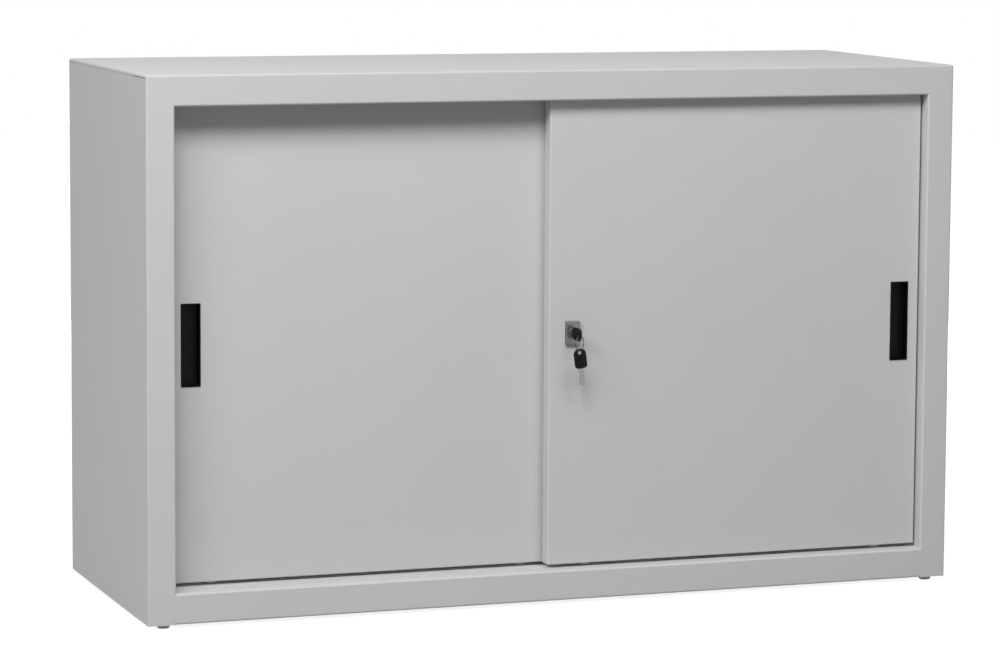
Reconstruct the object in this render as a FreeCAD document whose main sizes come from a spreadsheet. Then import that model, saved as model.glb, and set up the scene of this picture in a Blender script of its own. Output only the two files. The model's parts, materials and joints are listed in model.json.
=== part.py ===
import FreeCAD, Part
import os
import re
import Sketcher

# Steel sliding door cabinet: a folded carcass on four screw feet, two pan doors that roll on a
# double track, a lock that bolts the doors against each other, and one adjustable shelf.
#
# Every sub-part is drawn in the carcass frame and then set down by its Placement: X runs to the
# right from the middle, Y runs back from the plane of the front frame, Z runs up from the
# carcass's underside. All lengths are millimetres.

SIZES = {
    # carcass
    "body_width": 1200.0,
    "body_depth": 450.0,
    "body_height": 750.0,
    "sheet": 1.0,              # steel sheet of the carcass, shelf and doors
    "bend_radius": 3.0,        # outside of every carcass fold
    "post_face": 40.0,         # front face of each side post
    "post_depth": 72.0,        # return of the post, back from the front plane
    "post_lip": 12.0,
    "rear_flange": 18.0,
    "tray_edge": 5.0,          # top panel's turned-down edge over the side panels
    "top_rail": 43.0,          # front rail, down from the top
    "rail_lip": 13.0,
    "rail_turnup": 8.0,
    "side_flange": 20.0,       # top panel's flanges inside the side skins
    "sill_height": 42.5,       # front sill, up to the cabinet's floor
    "sill_lip": 14.0,
    # feet
    "foot_proud": 5.5,
    "foot_radius": 8.5,
    "foot_chamfer": 1.0,
    "foot_inset": 25.0,        # foot's axis from the carcass's sides
    "foot_setback": 14.5,      # foot's axis from the carcass's front and back
    "foot_travel": 8.0,
    "stud_radius": 4.0,
    "stud_spare": 10.0,        # stud above its nut once the foot is wound right out
    "bracket_plate": 2.0,
    "bracket_tab": 22.0,
    "nut_radius": 8.0,
    "nut_height": 6.0,
    # tracks
    "track_fin": 1.2,
    "track_depth": 32.0,
    "rail_base": 1.0,
    "rail_side": 9.0,          # base strip beyond the outer ribs
    "rail_rib": 2.0,
    "rib_height": 1.9,
    "rib_round": 0.6,
    # doors
    "door_overlap": 31.0,      # the closed doors over each other
    "door_thick": 22.0,
    "door_setback": 17.5,      # front door's face behind the front plane
    "door_pitch": 27.0,        # front door's face to rear door's face
    "door_side_gap": 2.5,
    "door_foot_gap": 5.5,      # door's underside above the sill
    "door_head_gap": 22.0,     # door's top edge below the carcass's top
    "door_bend": 2.0,
    "door_lip": 14.0,
    "hat_width": 50.0,
    "hat_depth": 15.0,
    "hat_foot": 18.0,
    # rollers
    "roller_inset": 60.0,
    "groove_radius": 9.0,
    "flange_radius": 10.6,
    "roller_width": 7.0,
    "groove_width": 3.2,
    "roller_gap": 0.2,         # groove above the rib
    "axle_radius": 2.0,
    "axle_head_radius": 3.2,   # riveted over outside each cheek
    "axle_head": 0.8,
    "running_gap": 0.05,
    "cheek_gap": 0.5,
    "cheek": 1.5,
    "bracket_length": 30.0,
    "bracket_rise": 20.0,
    "slot_half_length": 10.0,
    # guide shoes
    "shoe_length": 40.0,
    "shoe_height": 10.0,
    "shoe_inset": 60.0,
    "shoe_gap": 0.4,
    # rubber buffers
    "buffer_height": 20.0,
    "buffer_depth": 12.0,
    "buffer_edge": 120.0,      # from the opening's ends
    # handles
    "handle_width": 28.0,
    "handle_height": 115.0,
    "handle_depth": 14.0,
    "handle_wall": 1.2,
    "handle_rim": 0.7,
    "handle_proud": 0.8,
    "handle_inset": 30.2,      # handle's middle from the door's outer edge
    "handle_level": 377.5,
    "cut_gap": 0.2,            # cut-out in the skin round a handle or the lock
    # lock
    "lock_level": 378.5,
    "lock_width": 21.0,
    "lock_height": 33.5,
    "lock_proud": 5.0,
    "lock_rim": 1.0,
    "lock_corner": 1.5,
    "lock_rear_gap": 1.5,
    "barrel_radius": 7.5,
    "barrel_proud": 1.0,
    "barrel_length": 25.0,
    "bolt_radius": 3.0,
    "bolt_drop": 11.5,
    "bolt_travel": 14.0,
    "bolt_hold": 9.5,          # bolt still in its bore once it is right out
    "bolt_gap": 0.8,           # bolt beside the rear door's edge
    "clip_plate": 1.5,
    "clip_margin": 8.0,
    # keys
    "key_reach": 18.0,         # far end of the key in front of the front plane
    "bow_length": 27.5,
    "bow_width": 18.0,
    "bow_thick": 3.0,
    "bow_shoulder": 4.5,
    "bow_hole_radius": 3.4,
    "bow_hole_inset": 5.0,
    "bow_round": 0.6,
    "bow_end_margin": 1.0,     # bow's blade end beyond each side of the blade
    "blade_thick": 2.0,
    "blade_width": 7.6,
    "blade_length": 24.5,
    "blade_gap": 0.1,
    "blade_point": 2.0,
    "ring_radius": 11.0,
    "ring_wire": 0.8,
    "ring_drop": 1.2,          # ring's wire below the middle of the bow's hole
    "ring_turn": 40.0,         # ring's plane from the front plane, degrees
    "spare_lean": 7.5,         # spare key from the vertical, degrees
    # shelf
    "strip_width": 24.0,
    "strip_depth": 8.0,
    "strip_front": 98.0,
    "strip_rear_gap": 24.0,
    "strip_top_gap": 50.0,
    "slot_first": 68.0,
    "slot_pitch": 25.0,
    "slot_end_gap": 45.0,      # plain end of the strip above its highest slot, at least
    "slot_width": 10.0,
    "slot_height": 4.0,
    "shelf_slot": 12,          # slot that carries the shelf, counted from the lowest as 0
    "shelf_front": 86.0,
    "shelf_rear_gap": 12.0,
    "shelf_thick": 25.0,
    "shelf_end_gap": 1.0,
    "shelf_bend": 2.0,
    "brace_width": 60.0,
    "brace_depth": 14.0,
    "brace_foot": 15.0,
    "brace_end_gap": 60.0,
    "clip_width": 9.0,
    "clip_thick": 2.0,
    "clip_reach": 14.0,
    "clip_hook": 6.0,
    "clip_tongue": 3.0,        # hook's thickness behind the strip
}

# Sizes that follow from the driving ones.
WORKED_OUT = {
    "half_width": "body_width / 2",
    "opening_half": "half_width - post_face",
    "bracket_width": "post_face - 2 * sheet",
    "skin_under": "body_height - sheet",
    "edge_foot": "body_height - tray_edge",
    "ring_reach": "key_reach - bow_hole_inset + ring_radius * sin(ring_turn * 1deg) + ring_wire",
    "front_plane": "-(body_depth - ring_reach) / 2",
    "door_width": "opening_half - door_side_gap + door_overlap / 2",
    "door_left_edge": "-opening_half + door_side_gap",
    "stud_length": "bracket_plate + nut_height + foot_travel + stud_spare",
    "door_bottom": "sill_height + door_foot_gap",
    "door_top": "body_height - door_head_gap",
    "rear_setback": "door_setback + door_pitch",
    "front_middle": "door_setback + door_thick / 2",
    "rear_middle": "rear_setback + door_thick / 2",
    "rib_top": "sill_height + rail_base + rib_height",
    "roller_level": "rib_top + roller_gap + groove_radius",
    "cheek_inner": "roller_width / 2 + cheek_gap",
    "cheek_outer": "cheek_inner + cheek",
    "shoe_width": "door_pitch - track_fin - 2 * shoe_gap",
    "cup_width": "handle_width - 2 * handle_rim",
    "cup_height": "handle_height - 2 * handle_rim",
    "lock_inset": "door_overlap + bolt_radius + bolt_gap",
    "lock_x": "opening_half - door_side_gap - door_width + lock_inset",
    "body_of_lock_width": "lock_width - 2 * lock_rim",
    "body_of_lock_height": "lock_height - 2 * lock_rim",
    "lock_rear": "door_setback + door_thick - lock_rear_gap",
    "barrel_front": "door_setback - lock_proud - barrel_proud",
    "bolt_length": "lock_rear_gap + bolt_travel + bolt_hold",
    "key_tip": "bow_length + blade_length - key_reach",
    "hole_y": "-key_reach + bow_hole_inset",
    "ring_top": "lock_level - ring_drop",
    "ring_bottom": "ring_top - 2 * ring_radius",
    "spare_hole": "ring_bottom - ring_drop",
    "strip_rear": "body_depth - strip_rear_gap - strip_width",
    "strip_top": "body_height - strip_top_gap",
    "strip_face": "sheet + strip_depth",
    "slot_count": "floor((strip_top - slot_first - slot_end_gap) / slot_pitch) + 1",
    "shelf_slot_foot": "slot_first + shelf_slot * slot_pitch",
    "shelf_foot": "shelf_slot_foot + clip_thick",
    "shelf_end": "half_width - strip_face - shelf_end_gap",
    "shelf_rear": "body_depth - shelf_rear_gap",
}

doc = FreeCAD.newDocument("sliding_door_cabinet")
sheet_object = doc.addObject("Spreadsheet::Sheet", "Sizes")
for row, (alias, value) in enumerate(SIZES.items(), start=1):
    sheet_object.set(f"A{row}", alias)
    sheet_object.set(f"B{row}", str(value))
    sheet_object.setAlias(f"B{row}", alias)
doc.recompute()

PARTS = []


# ---------------------------------------------------------------------------------------------
# Drawing helpers
# ---------------------------------------------------------------------------------------------

def sized(text):
    """Expression with each name spelt as its cell, or as the sum it is worked out from."""
    def spell(match):
        word = match.group(0)
        if word in WORKED_OUT:
            return "(" + sized(WORKED_OUT[word]) + ")"
        if word in SIZES:
            return "Sizes." + word
        return word
    return re.sub(r"[a-z_]+", spell, text)


def number(text):
    return float(sheet_object.evalExpression(sized(text)))


def bind(item, prop, text):
    item.setExpression(prop, sized(text))


def new_body(label):
    body = doc.addObject("PartDesign::Body", label)
    body.Label = label
    PARTS.append(body)
    return body


def set_down(item, x="0", y="0", z="0"):
    """Place a finished sub-part: its offset in the carcass frame, then the frame itself."""
    bind(item, "Placement.Base.x", x)
    bind(item, "Placement.Base.y", f"front_plane + ({y})")
    bind(item, "Placement.Base.z", f"foot_proud + ({z})")


def sketch_on(body, name, role, height="0"):
    flat = body.newObject("Sketcher::SketchObject", name)
    plane = next(item for item in body.Origin.OriginFeatures if item.Role == role)
    flat.AttachmentSupport = (plane, [""])
    flat.MapMode = "FlatFace"
    bind(flat, "AttachmentOffset.Base.z", height)
    return flat


def pin(flat, geometry, vertex, x, y):
    """Fix a sketch point by its two co-ordinates."""
    for kind, text in (("DistanceX", x), ("DistanceY", y)):
        rule = Sketcher.Constraint(kind, -1, 1, geometry, vertex, number(text))
        index = flat.addConstraint(rule)
        bind(flat, f"Constraints[{index}]", text)


def outline(flat, corners):
    """Closed outline with straight sides."""
    first = flat.GeometryCount
    points = [FreeCAD.Vector(number(x), number(y), 0) for x, y in corners]
    count = len(points)
    for index, point in enumerate(points):
        flat.addGeometry(Part.LineSegment(point, points[(index + 1) % count]), False)
    for index in range(count):
        following = first + (index + 1) % count
        flat.addConstraint(Sketcher.Constraint("Coincident", first + index, 2, following, 1))
    for index, (x, y) in enumerate(corners):
        pin(flat, first + index, 1, x, y)


def rectangle(flat, low_x, high_x, low_y, high_y):
    outline(flat, [(low_x, low_y), (high_x, low_y), (high_x, high_y), (low_x, high_y)])


def circle(flat, x, y, radius):
    index = flat.GeometryCount
    centre = FreeCAD.Vector(number(x), number(y), 0)
    up = FreeCAD.Vector(0, 0, 1)
    flat.addGeometry(Part.Circle(centre, up, number(radius)), False)
    pin(flat, index, 3, x, y)
    rule = flat.addConstraint(Sketcher.Constraint("Radius", index, number(radius)))
    bind(flat, f"Constraints[{rule}]", radius)


def pad(body, flat, length, midplane=False, reverse=False):
    feature = body.newObject("PartDesign::Pad", flat.Name + "_pad")
    feature.Profile = flat
    feature.SideType = "Symmetric" if midplane else "One side"
    feature.Reversed = reverse
    bind(feature, "Length", length)
    doc.recompute()
    if feature.Shape.isNull() or not feature.Shape.Volume > 0:
        raise RuntimeError(f"{flat.Name} adds nothing")
    return feature


def pocket(body, flat, length, midplane=False, reverse=False):
    before = body.Shape.Volume
    feature = body.newObject("PartDesign::Pocket", flat.Name + "_pocket")
    feature.Profile = flat
    feature.SideType = "Symmetric" if midplane else "One side"
    feature.Reversed = reverse
    bind(feature, "Length", length)
    doc.recompute()
    if not body.Shape.Volume < before:
        raise RuntimeError(f"{flat.Name} cuts nothing")
    return feature


def block(body, name, x, y, z):
    """Upright block from three pairs of limits."""
    flat = sketch_on(body, name, "XY_Plane", z[0])
    rectangle(flat, x[0], x[1], y[0], y[1])
    return pad(body, flat, f"({z[1]}) - ({z[0]})")


def cavity(body, name, x, y, z):
    """Block-shaped hollow from three pairs of limits."""
    flat = sketch_on(body, name, "XY_Plane", z[0])
    rectangle(flat, x[0], x[1], y[0], y[1])
    return pocket(body, flat, f"({z[1]}) - ({z[0]})", reverse=True)


def round_edges(body, name, radius, chosen):
    """Fillet on every edge of the body that chosen() accepts."""
    base = body.Tip
    edges = [f"Edge{index}" for index, edge in enumerate(base.Shape.Edges, start=1) if chosen(edge)]
    if not edges:
        raise RuntimeError(f"{name} finds no edge")
    feature = body.newObject("PartDesign::Fillet", name)
    feature.Base = (base, edges)
    bind(feature, "Radius", radius)
    doc.recompute()
    return feature


def hollow_out(body, name, wall, axis, level):
    """Leave one wall's thickness behind every face but the one at a level along an axis."""
    base = body.Tip
    faces = [f"Face{index}" for index, face in enumerate(base.Shape.Faces, start=1)
             if near(face.BoundBox.Center[axis], level) and face.Surface.TypeId == "Part::GeomPlane"]
    feature = body.newObject("PartDesign::Thickness", name)
    feature.Base = (base, faces)
    feature.Reversed = True
    bind(feature, "Value", wall)
    doc.recompute()
    return feature


def near(one, other):
    return abs(one - other) < 0.01


def runs_along(edge, axis):
    """True for a straight edge parallel to an axis, 0 for X, 1 for Y, 2 for Z."""
    if edge.Degenerated or edge.Curve.TypeId != "Part::GeomLine":
        return False
    start, end = edge.Vertexes[0].Point, edge.Vertexes[1].Point
    return all(near(start[other], end[other]) for other in range(3) if other != axis)


def lies_in(edge, axis, level):
    """True where the whole edge lies at one level along an axis."""
    return not edge.Degenerated and all(near(vertex.Point[axis], level) for vertex in edge.Vertexes)


def turn_sign(first, second):
    cross = first[0] * second[1] - first[1] * second[0]
    return 1 if cross > 0 else -1


def folded_sheet(body, name, role, path, side, thick, radius, start, length, midplane=False):
    """Sheet folded square along a path and drawn out to a length.

    The path is one face of the sheet. The sheet's thickness lies to its left where side is 1
    and to its right where side is -1. Each fold is rounded inside and outside.
    """
    places = [(number(x), number(y)) for x, y in path]
    headings = []
    for here, there in zip(places, places[1:]):
        across, along = there[0] - here[0], there[1] - here[1]
        size = max(abs(across), abs(along))
        headings.append((round(across / size), round(along / size)))
    normals = [(-side * heading[1], side * heading[0]) for heading in headings]
    other_face = []
    for index, (x, y) in enumerate(path):
        touching = normals[max(index - 1, 0):index + 1]
        shift_x = sum(normal[0] for normal in touching)
        shift_y = sum(normal[1] for normal in touching)
        other_face.append((f"({x}) + {shift_x} * {thick}", f"({y}) + {shift_y} * {thick}"))
    flat = sketch_on(body, name, role, start)
    outline(flat, list(path) + other_face[::-1])
    pad(body, flat, length, midplane=midplane)
    across_axes = {"XY_Plane": (0, 1), "XZ_Plane": (0, 2), "YZ_Plane": (1, 2)}[role]
    draw_axis = 3 - sum(across_axes)
    outside, inside = [], []
    for index in range(1, len(path) - 1):
        faces = [path[index], other_face[index]]
        if turn_sign(headings[index - 1], headings[index]) != side:
            faces.reverse()
        outside.append(faces[0])
        inside.append(faces[1])
    for kind, corners, size in (("outside", outside, radius), ("inside", inside, f"{radius} - {thick}")):
        spots = [(number(x), number(y)) for x, y in corners]

        def is_fold(edge):
            point = edge.Vertexes[0].Point
            here = (point[across_axes[0]], point[across_axes[1]])
            return runs_along(edge, draw_axis) and any(
                near(here[0], spot[0]) and near(here[1], spot[1]) for spot in spots)

        round_edges(body, f"{name}_{kind}", size, is_fold)


def joined(label, pieces):
    """Several separate solids kept as one node."""
    group = doc.addObject("Part::Compound", label)
    group.Label = label
    group.Links = pieces
    PARTS.append(group)
    return group


def simple(kind, name, sizes, x="0", y="0", z="0"):
    """Part primitive with its sizes and its corner or centre bound to the sheet."""
    item = doc.addObject("Part::" + kind, name)
    for prop, text in sizes.items():
        bind(item, prop, text)
    for axis, text in (("x", x), ("y", y), ("z", z)):
        bind(item, "Placement.Base." + axis, text)
    return item


def turned(item, axis, angle):
    """Turn an item about an axis by an angle in degrees, keeping its place."""
    item.Placement.Rotation = FreeCAD.Rotation(FreeCAD.Vector(*axis), number(angle))
    bind(item, "Placement.Rotation.Angle", angle)


# ---------------------------------------------------------------------------------------------
# Carcass
# ---------------------------------------------------------------------------------------------

def side_panel(label, hand):
    """Side skin, front post and rear flange in one folded sheet; hand is -1 left, 1 right."""
    body = new_body(label)

    def at(inward):
        return f"{hand} * (half_width - ({inward}))"

    path = [
        (at("rear_flange"), "body_depth"),
        (at("0"), "body_depth"),
        (at("0"), "0"),
        (at("post_face"), "0"),
        (at("post_face"), "post_depth"),
        (at("post_face - post_lip"), "post_depth"),
    ]
    folded_sheet(body, label + "_plan", "XY_Plane", path, -hand, "sheet", "bend_radius", "0", "edge_foot")
    set_down(body)


def top_panel():
    """Shallow tray over the sides, with the front rail folded down between the posts."""
    body = new_body("top_panel")
    block(body, "top_outside", ("-half_width", "half_width"), ("0", "body_depth"), ("edge_foot", "body_height"))
    round_edges(body, "top_corners", "bend_radius", lambda edge: runs_along(edge, 2))
    top = number("body_height")
    round_edges(body, "top_edges", "bend_radius", lambda edge: lies_in(edge, 2, top))
    hollow_out(body, "top_shell", "sheet", 2, number("edge_foot"))
    for name, hand in (("left", "-1"), ("right", "1")):
        near_side, far_side = "half_width - 2 * sheet", "half_width - sheet"
        if hand == "-1":
            near_side, far_side = f"-({far_side})", f"-({near_side})"
        block(body, f"top_{name}_flange", (near_side, far_side),
              ("post_depth + bend_radius", "body_depth - rear_flange"),
              ("body_height - side_flange", "skin_under"))
    rail = [
        ("0", "edge_foot + sheet"),
        ("0", "body_height - top_rail"),
        ("rail_lip", "body_height - top_rail"),
        ("rail_lip", "body_height - top_rail + rail_turnup"),
    ]
    folded_sheet(body, "top_rail_section", "YZ_Plane", rail, 1, "sheet", "bend_radius",
                 "0", "2 * opening_half", midplane=True)
    set_down(body)


def base_panel():
    """Cabinet floor, folded down into the front sill and the rear flange."""
    body = new_body("base_panel")
    rear = "body_depth - 2 * sheet"
    section = [
        ("sill_lip", "0"),
        ("0", "0"),
        ("0", "sill_height"),
        (rear, "sill_height"),
        (rear, "0"),
    ]
    folded_sheet(body, "base_section", "YZ_Plane", section, -1, "sheet", "bend_radius",
                 "0", "2 * opening_half", midplane=True)
    for name, sign in (("left", -1), ("right", 1)):
        limits = [f"{sign} * opening_half", f"{sign} * (half_width - sheet)"]
        limits.sort(key=number)
        block(body, f"base_{name}_wing", limits, ("post_depth", f"({rear}) - bend_radius"),
              ("sill_height - sheet", "sill_height"))
    set_down(body)


def back_panel():
    body = new_body("back_panel")
    block(body, "back_sheet", ("-(half_width - bend_radius)", "half_width - bend_radius"),
          ("body_depth - 2 * sheet", "body_depth - sheet"), ("0", "edge_foot"))
    set_down(body)


def foot_bracket(label, hand, rear):
    """Plate across a bottom corner with a welded nut, and a tab up the side skin."""
    body = new_body(label)

    def across(inward):
        return f"{hand} * (half_width - sheet - ({inward}))"

    front_end, back_end = "sheet", "post_depth - sheet"
    if rear:
        front_end, back_end = "body_depth - post_depth", "body_depth - 2 * sheet"
    for name, width, rise in (("plate", "bracket_width", "bracket_plate"),
                              ("tab", "bracket_plate", "bracket_tab")):
        limits = sorted([across("0"), across(width)], key=number)
        length = (front_end, back_end)
        if name == "tab":
            length = (f"({front_end}) + bend_radius", f"({back_end}) - bend_radius")
        block(body, f"{label}_{name}", limits, length, ("0", rise))
        if name == "plate":
            round_edges(body, label + "_corners", "bend_radius", lambda edge: runs_along(edge, 2))
    foot_y = "body_depth - foot_setback" if rear else "foot_setback"
    foot_x = f"{hand} * (half_width - foot_inset)"
    nut = sketch_on(body, label + "_nut", "XY_Plane", "bracket_plate")
    circle(nut, foot_x, foot_y, "nut_radius")
    pad(body, nut, "nut_height")
    bore = sketch_on(body, label + "_bore", "XY_Plane", "0")
    circle(bore, foot_x, foot_y, "stud_radius + running_gap")
    pocket(body, bore, "bracket_plate + nut_height", reverse=True)
    set_down(body)


def foot(label, hand, rear):
    """Moulded pad on a threaded stud."""
    body = new_body(label)
    section = sketch_on(body, label + "_section", "XZ_Plane")
    outline(section, [
        ("0", "-foot_proud"),
        ("foot_radius - foot_chamfer", "-foot_proud"),
        ("foot_radius", "-foot_proud + foot_chamfer"),
        ("foot_radius", "0"),
        ("stud_radius", "0"),
        ("stud_radius", "stud_length"),
        ("0", "stud_length"),
    ])
    turning = body.newObject("PartDesign::Revolution", label + "_turning")
    turning.Profile = section
    turning.ReferenceAxis = (section, ["V_Axis"])
    turning.Angle = 360
    doc.recompute()
    set_down(body, f"{hand} * (half_width - foot_inset)", "body_depth - foot_setback" if rear else "foot_setback")


def upper_track():
    """Three fins under one plate: the doors' guide shoes run in the two channels between them."""
    body = new_body("upper_track")
    fins = ["front_middle - door_pitch / 2", "front_middle + door_pitch / 2", "rear_middle + door_pitch / 2"]
    plate_foot = "skin_under - track_fin"
    fin_foot = "skin_under - track_depth"
    corners = [(f"({fins[0]}) - track_fin / 2", "skin_under")]
    for index, fin in enumerate(fins):
        for face in ("-", "+"):
            ends = [plate_foot, fin_foot] if face == "-" else [fin_foot, plate_foot]
            if index == 0 and face == "-":
                ends = [fin_foot]
            if index == len(fins) - 1 and face == "+":
                ends = [fin_foot]
            corners += [(f"({fin}) {face} track_fin / 2", level) for level in ends]
    corners.append((f"({fins[-1]}) + track_fin / 2", "skin_under"))
    section = sketch_on(body, "upper_track_section", "YZ_Plane")
    outline(section, corners)
    pad(body, section, "2 * opening_half", midplane=True)
    set_down(body)


def lower_track():
    """Flat strip with two upright ribs that the grooved rollers ride on."""
    body = new_body("lower_track")
    rib = "rail_rib / 2"
    base_top = "sill_height + rail_base"
    corners = [("front_middle - rail_side", "sill_height"), ("front_middle - rail_side", base_top)]
    for middle in ("front_middle", "rear_middle"):
        corners += [(f"{middle} - {rib}", base_top), (f"{middle} - {rib}", "rib_top"),
                    (f"{middle} + {rib}", "rib_top"), (f"{middle} + {rib}", base_top)]
    corners += [("rear_middle + rail_side", base_top), ("rear_middle + rail_side", "sill_height")]
    section = sketch_on(body, "lower_track_section", "YZ_Plane")
    outline(section, corners)
    pad(body, section, "2 * opening_half", midplane=True)
    top = number("rib_top")
    round_edges(body, "lower_track_ribs", "rib_round",
                lambda edge: runs_along(edge, 0) and lies_in(edge, 2, top))
    set_down(body)


def post_buffers(label, hand):
    """Rubber blocks on a post's return that stop each door high and low."""
    pieces = []
    for track in ("front", "rear"):
        for end in ("low", "high"):
            level = "door_bottom + buffer_edge" if end == "low" else "door_top - buffer_edge - buffer_height"
            start = "-opening_half" if hand < 0 else "opening_half - door_side_gap"
            pieces.append(simple(
                "Box", f"{label}_{track}_{end}",
                {"Length": "door_side_gap", "Width": "buffer_depth", "Height": "buffer_height"},
                start, f"{track}_middle - buffer_depth / 2", level))
    set_down(joined(label, pieces))


# ---------------------------------------------------------------------------------------------
# Shelf
# ---------------------------------------------------------------------------------------------

def shelf_strip(label, hand, start):
    """Slotted channel on the side skin."""
    body = new_body(label)

    def at(inward):
        return f"{hand} * (half_width - sheet - ({inward}))"

    end = f"{start} + strip_width"
    path = [(at("0"), start), (at("strip_depth"), start), (at("strip_depth"), end), (at("0"), end)]
    folded_sheet(body, label + "_plan", "XY_Plane", path, -hand, "sheet", "shelf_bend",
                 "sill_height", "strip_top - sill_height")
    slot = sketch_on(body, label + "_slot", "YZ_Plane")
    middle = f"{start} + strip_width / 2"
    rectangle(slot, f"{middle} - slot_width / 2", f"{middle} + slot_width / 2",
              "slot_first", "slot_first + slot_height")
    cut = pocket(body, slot, "half_width", reverse=hand > 0)
    pattern = body.newObject("PartDesign::LinearPattern", label + "_slots")
    pattern.Originals = [cut]
    upright = next(item for item in body.Origin.OriginFeatures if item.Role == "Z_Axis")
    pattern.Direction = (upright, [""])
    bind(pattern, "Length", "slot_pitch * (slot_count - 1)")
    bind(pattern, "Occurrences", "slot_count")
    body.Tip = pattern
    doc.recompute()
    set_down(body)


def shelf():
    """Tray with its four edges folded down."""
    body = new_body("shelf")
    top = "shelf_foot + shelf_thick"
    block(body, "shelf_outside", ("-shelf_end", "shelf_end"), ("shelf_front", "shelf_rear"),
          ("shelf_foot", top))
    level = number(top)
    round_edges(body, "shelf_edges", "shelf_bend", lambda edge: lies_in(edge, 2, level))
    cavity(body, "shelf_inside", ("-shelf_end + sheet", "shelf_end - sheet"),
           ("shelf_front + sheet", "shelf_rear - sheet"), ("shelf_foot", f"{top} - sheet"))
    under = number(f"{top} - sheet")
    round_edges(body, "shelf_inner_edges", "shelf_bend - sheet", lambda edge: lies_in(edge, 2, under))
    set_down(body)


def shelf_brace():
    """Hat section under the middle of the shelf."""
    body = new_body("shelf_brace")
    middle = "(shelf_front + shelf_rear) / 2"
    root = "shelf_foot + shelf_thick - 2 * sheet"
    low = "shelf_foot + shelf_thick - sheet - brace_depth"
    path = [
        (f"{middle} - brace_width / 2", root),
        (f"{middle} - brace_width / 2 + brace_foot", root),
        (f"{middle} - brace_width / 2 + brace_foot", low),
        (f"{middle} + brace_width / 2 - brace_foot", low),
        (f"{middle} + brace_width / 2 - brace_foot", root),
        (f"{middle} + brace_width / 2", root),
    ]
    folded_sheet(body, "shelf_brace_section", "YZ_Plane", path, 1, "sheet", "shelf_bend",
                 "0", "2 * (shelf_end - brace_end_gap)", midplane=True)
    set_down(body)


def shelf_clips():
    """Four clips hooked into the strips: each ledge carries a corner of the shelf."""
    pieces = []
    for hand in (-1, 1):
        for start in ("strip_front", "strip_rear"):
            middle_y = f"{start} + strip_width / 2 - clip_width / 2"
            name = f"clip_{'left' if hand < 0 else 'right'}_{start}"
            face = "half_width - strip_face"
            tongue = "sheet + clip_tongue"
            inner = f"-({face}) - {tongue}" if hand < 0 else f"{face} - clip_reach"
            ledge = simple("Box", name + "_ledge",
                           {"Length": f"clip_reach + {tongue}", "Width": "clip_width", "Height": "clip_thick"},
                           inner, middle_y, "shelf_slot_foot")
            hook_x = f"-({face}) - {tongue}" if hand < 0 else f"{face} + sheet"
            hook = simple("Box", name + "_hook",
                          {"Length": "clip_tongue", "Width": "clip_width", "Height": "clip_hook"},
                          hook_x, middle_y, "shelf_slot_foot - clip_hook")
            whole = doc.addObject("Part::MultiFuse", name)
            whole.Shapes = [ledge, hook]
            pieces.append(whole)
    set_down(joined("shelf_clips", pieces))


# ---------------------------------------------------------------------------------------------
# Doors
# ---------------------------------------------------------------------------------------------

def door_skin(label, left, face, handle_x, lock):
    """Pan door: front skin with four folded edges and lips behind, cut out for what it carries."""
    body = new_body(label)
    right = f"{left} + door_width"
    rear = f"{face} + door_thick"
    block(body, label + "_outside", (left, right), (face, rear), ("door_bottom", "door_top"))
    front = number(face)
    round_edges(body, label + "_corners", "door_bend",
                lambda edge: lies_in(edge, 1, front))
    cavity(body, label + "_inside", (f"{left} + sheet", f"{right} - sheet"),
           (f"{face} + sheet", f"{rear} - sheet"), ("door_bottom + sheet", "door_top - sheet"))
    cavity(body, label + "_back_opening", (f"{left} + door_lip", f"{right} - door_lip"),
           (f"{rear} - 2 * sheet", rear), ("door_bottom + door_lip", "door_top - door_lip"))
    cavity(body, label + "_handle_hole",
           (f"{handle_x} - cup_width / 2 - cut_gap", f"{handle_x} + cup_width / 2 + cut_gap"),
           (face, f"{face} + 2 * sheet"),
           ("handle_level - cup_height / 2 - cut_gap", "handle_level + cup_height / 2 + cut_gap"))
    if lock:
        cavity(body, label + "_lock_hole",
               ("lock_x - body_of_lock_width / 2 - cut_gap", "lock_x + body_of_lock_width / 2 + cut_gap"),
               (face, f"{face} + 2 * sheet"),
               ("lock_level - body_of_lock_height / 2 - cut_gap",
                "lock_level + body_of_lock_height / 2 + cut_gap"))
    for name, place in (("left", f"{left} + roller_inset"), ("right", f"{right} - roller_inset")):
        cavity(body, f"{label}_{name}_roller_slot",
               (f"{place} - slot_half_length", f"{place} + slot_half_length"),
               (f"{face} + door_thick / 2 - cheek_inner", f"{face} + door_thick / 2 + cheek_inner"),
               ("door_bottom", "door_bottom + sheet"))
    set_down(body)


def door_stiffener(label, middle, face):
    """Upright hat section behind the middle of a door skin."""
    body = new_body(label)
    root = f"{face} + 2 * sheet"
    crown = f"{face} + sheet + hat_depth"
    half = "hat_width / 2"
    path = [
        (f"{middle} - {half} - hat_foot", root),
        (f"{middle} - {half}", root),
        (f"{middle} - {half}", crown),
        (f"{middle} + {half}", crown),
        (f"{middle} + {half}", root),
        (f"{middle} + {half} + hat_foot", root),
    ]
    folded_sheet(body, label + "_plan", "XY_Plane", path, -1, "sheet", "door_bend",
                 "door_bottom + sheet", "door_top - door_bottom - 2 * sheet")
    set_down(body)


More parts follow.
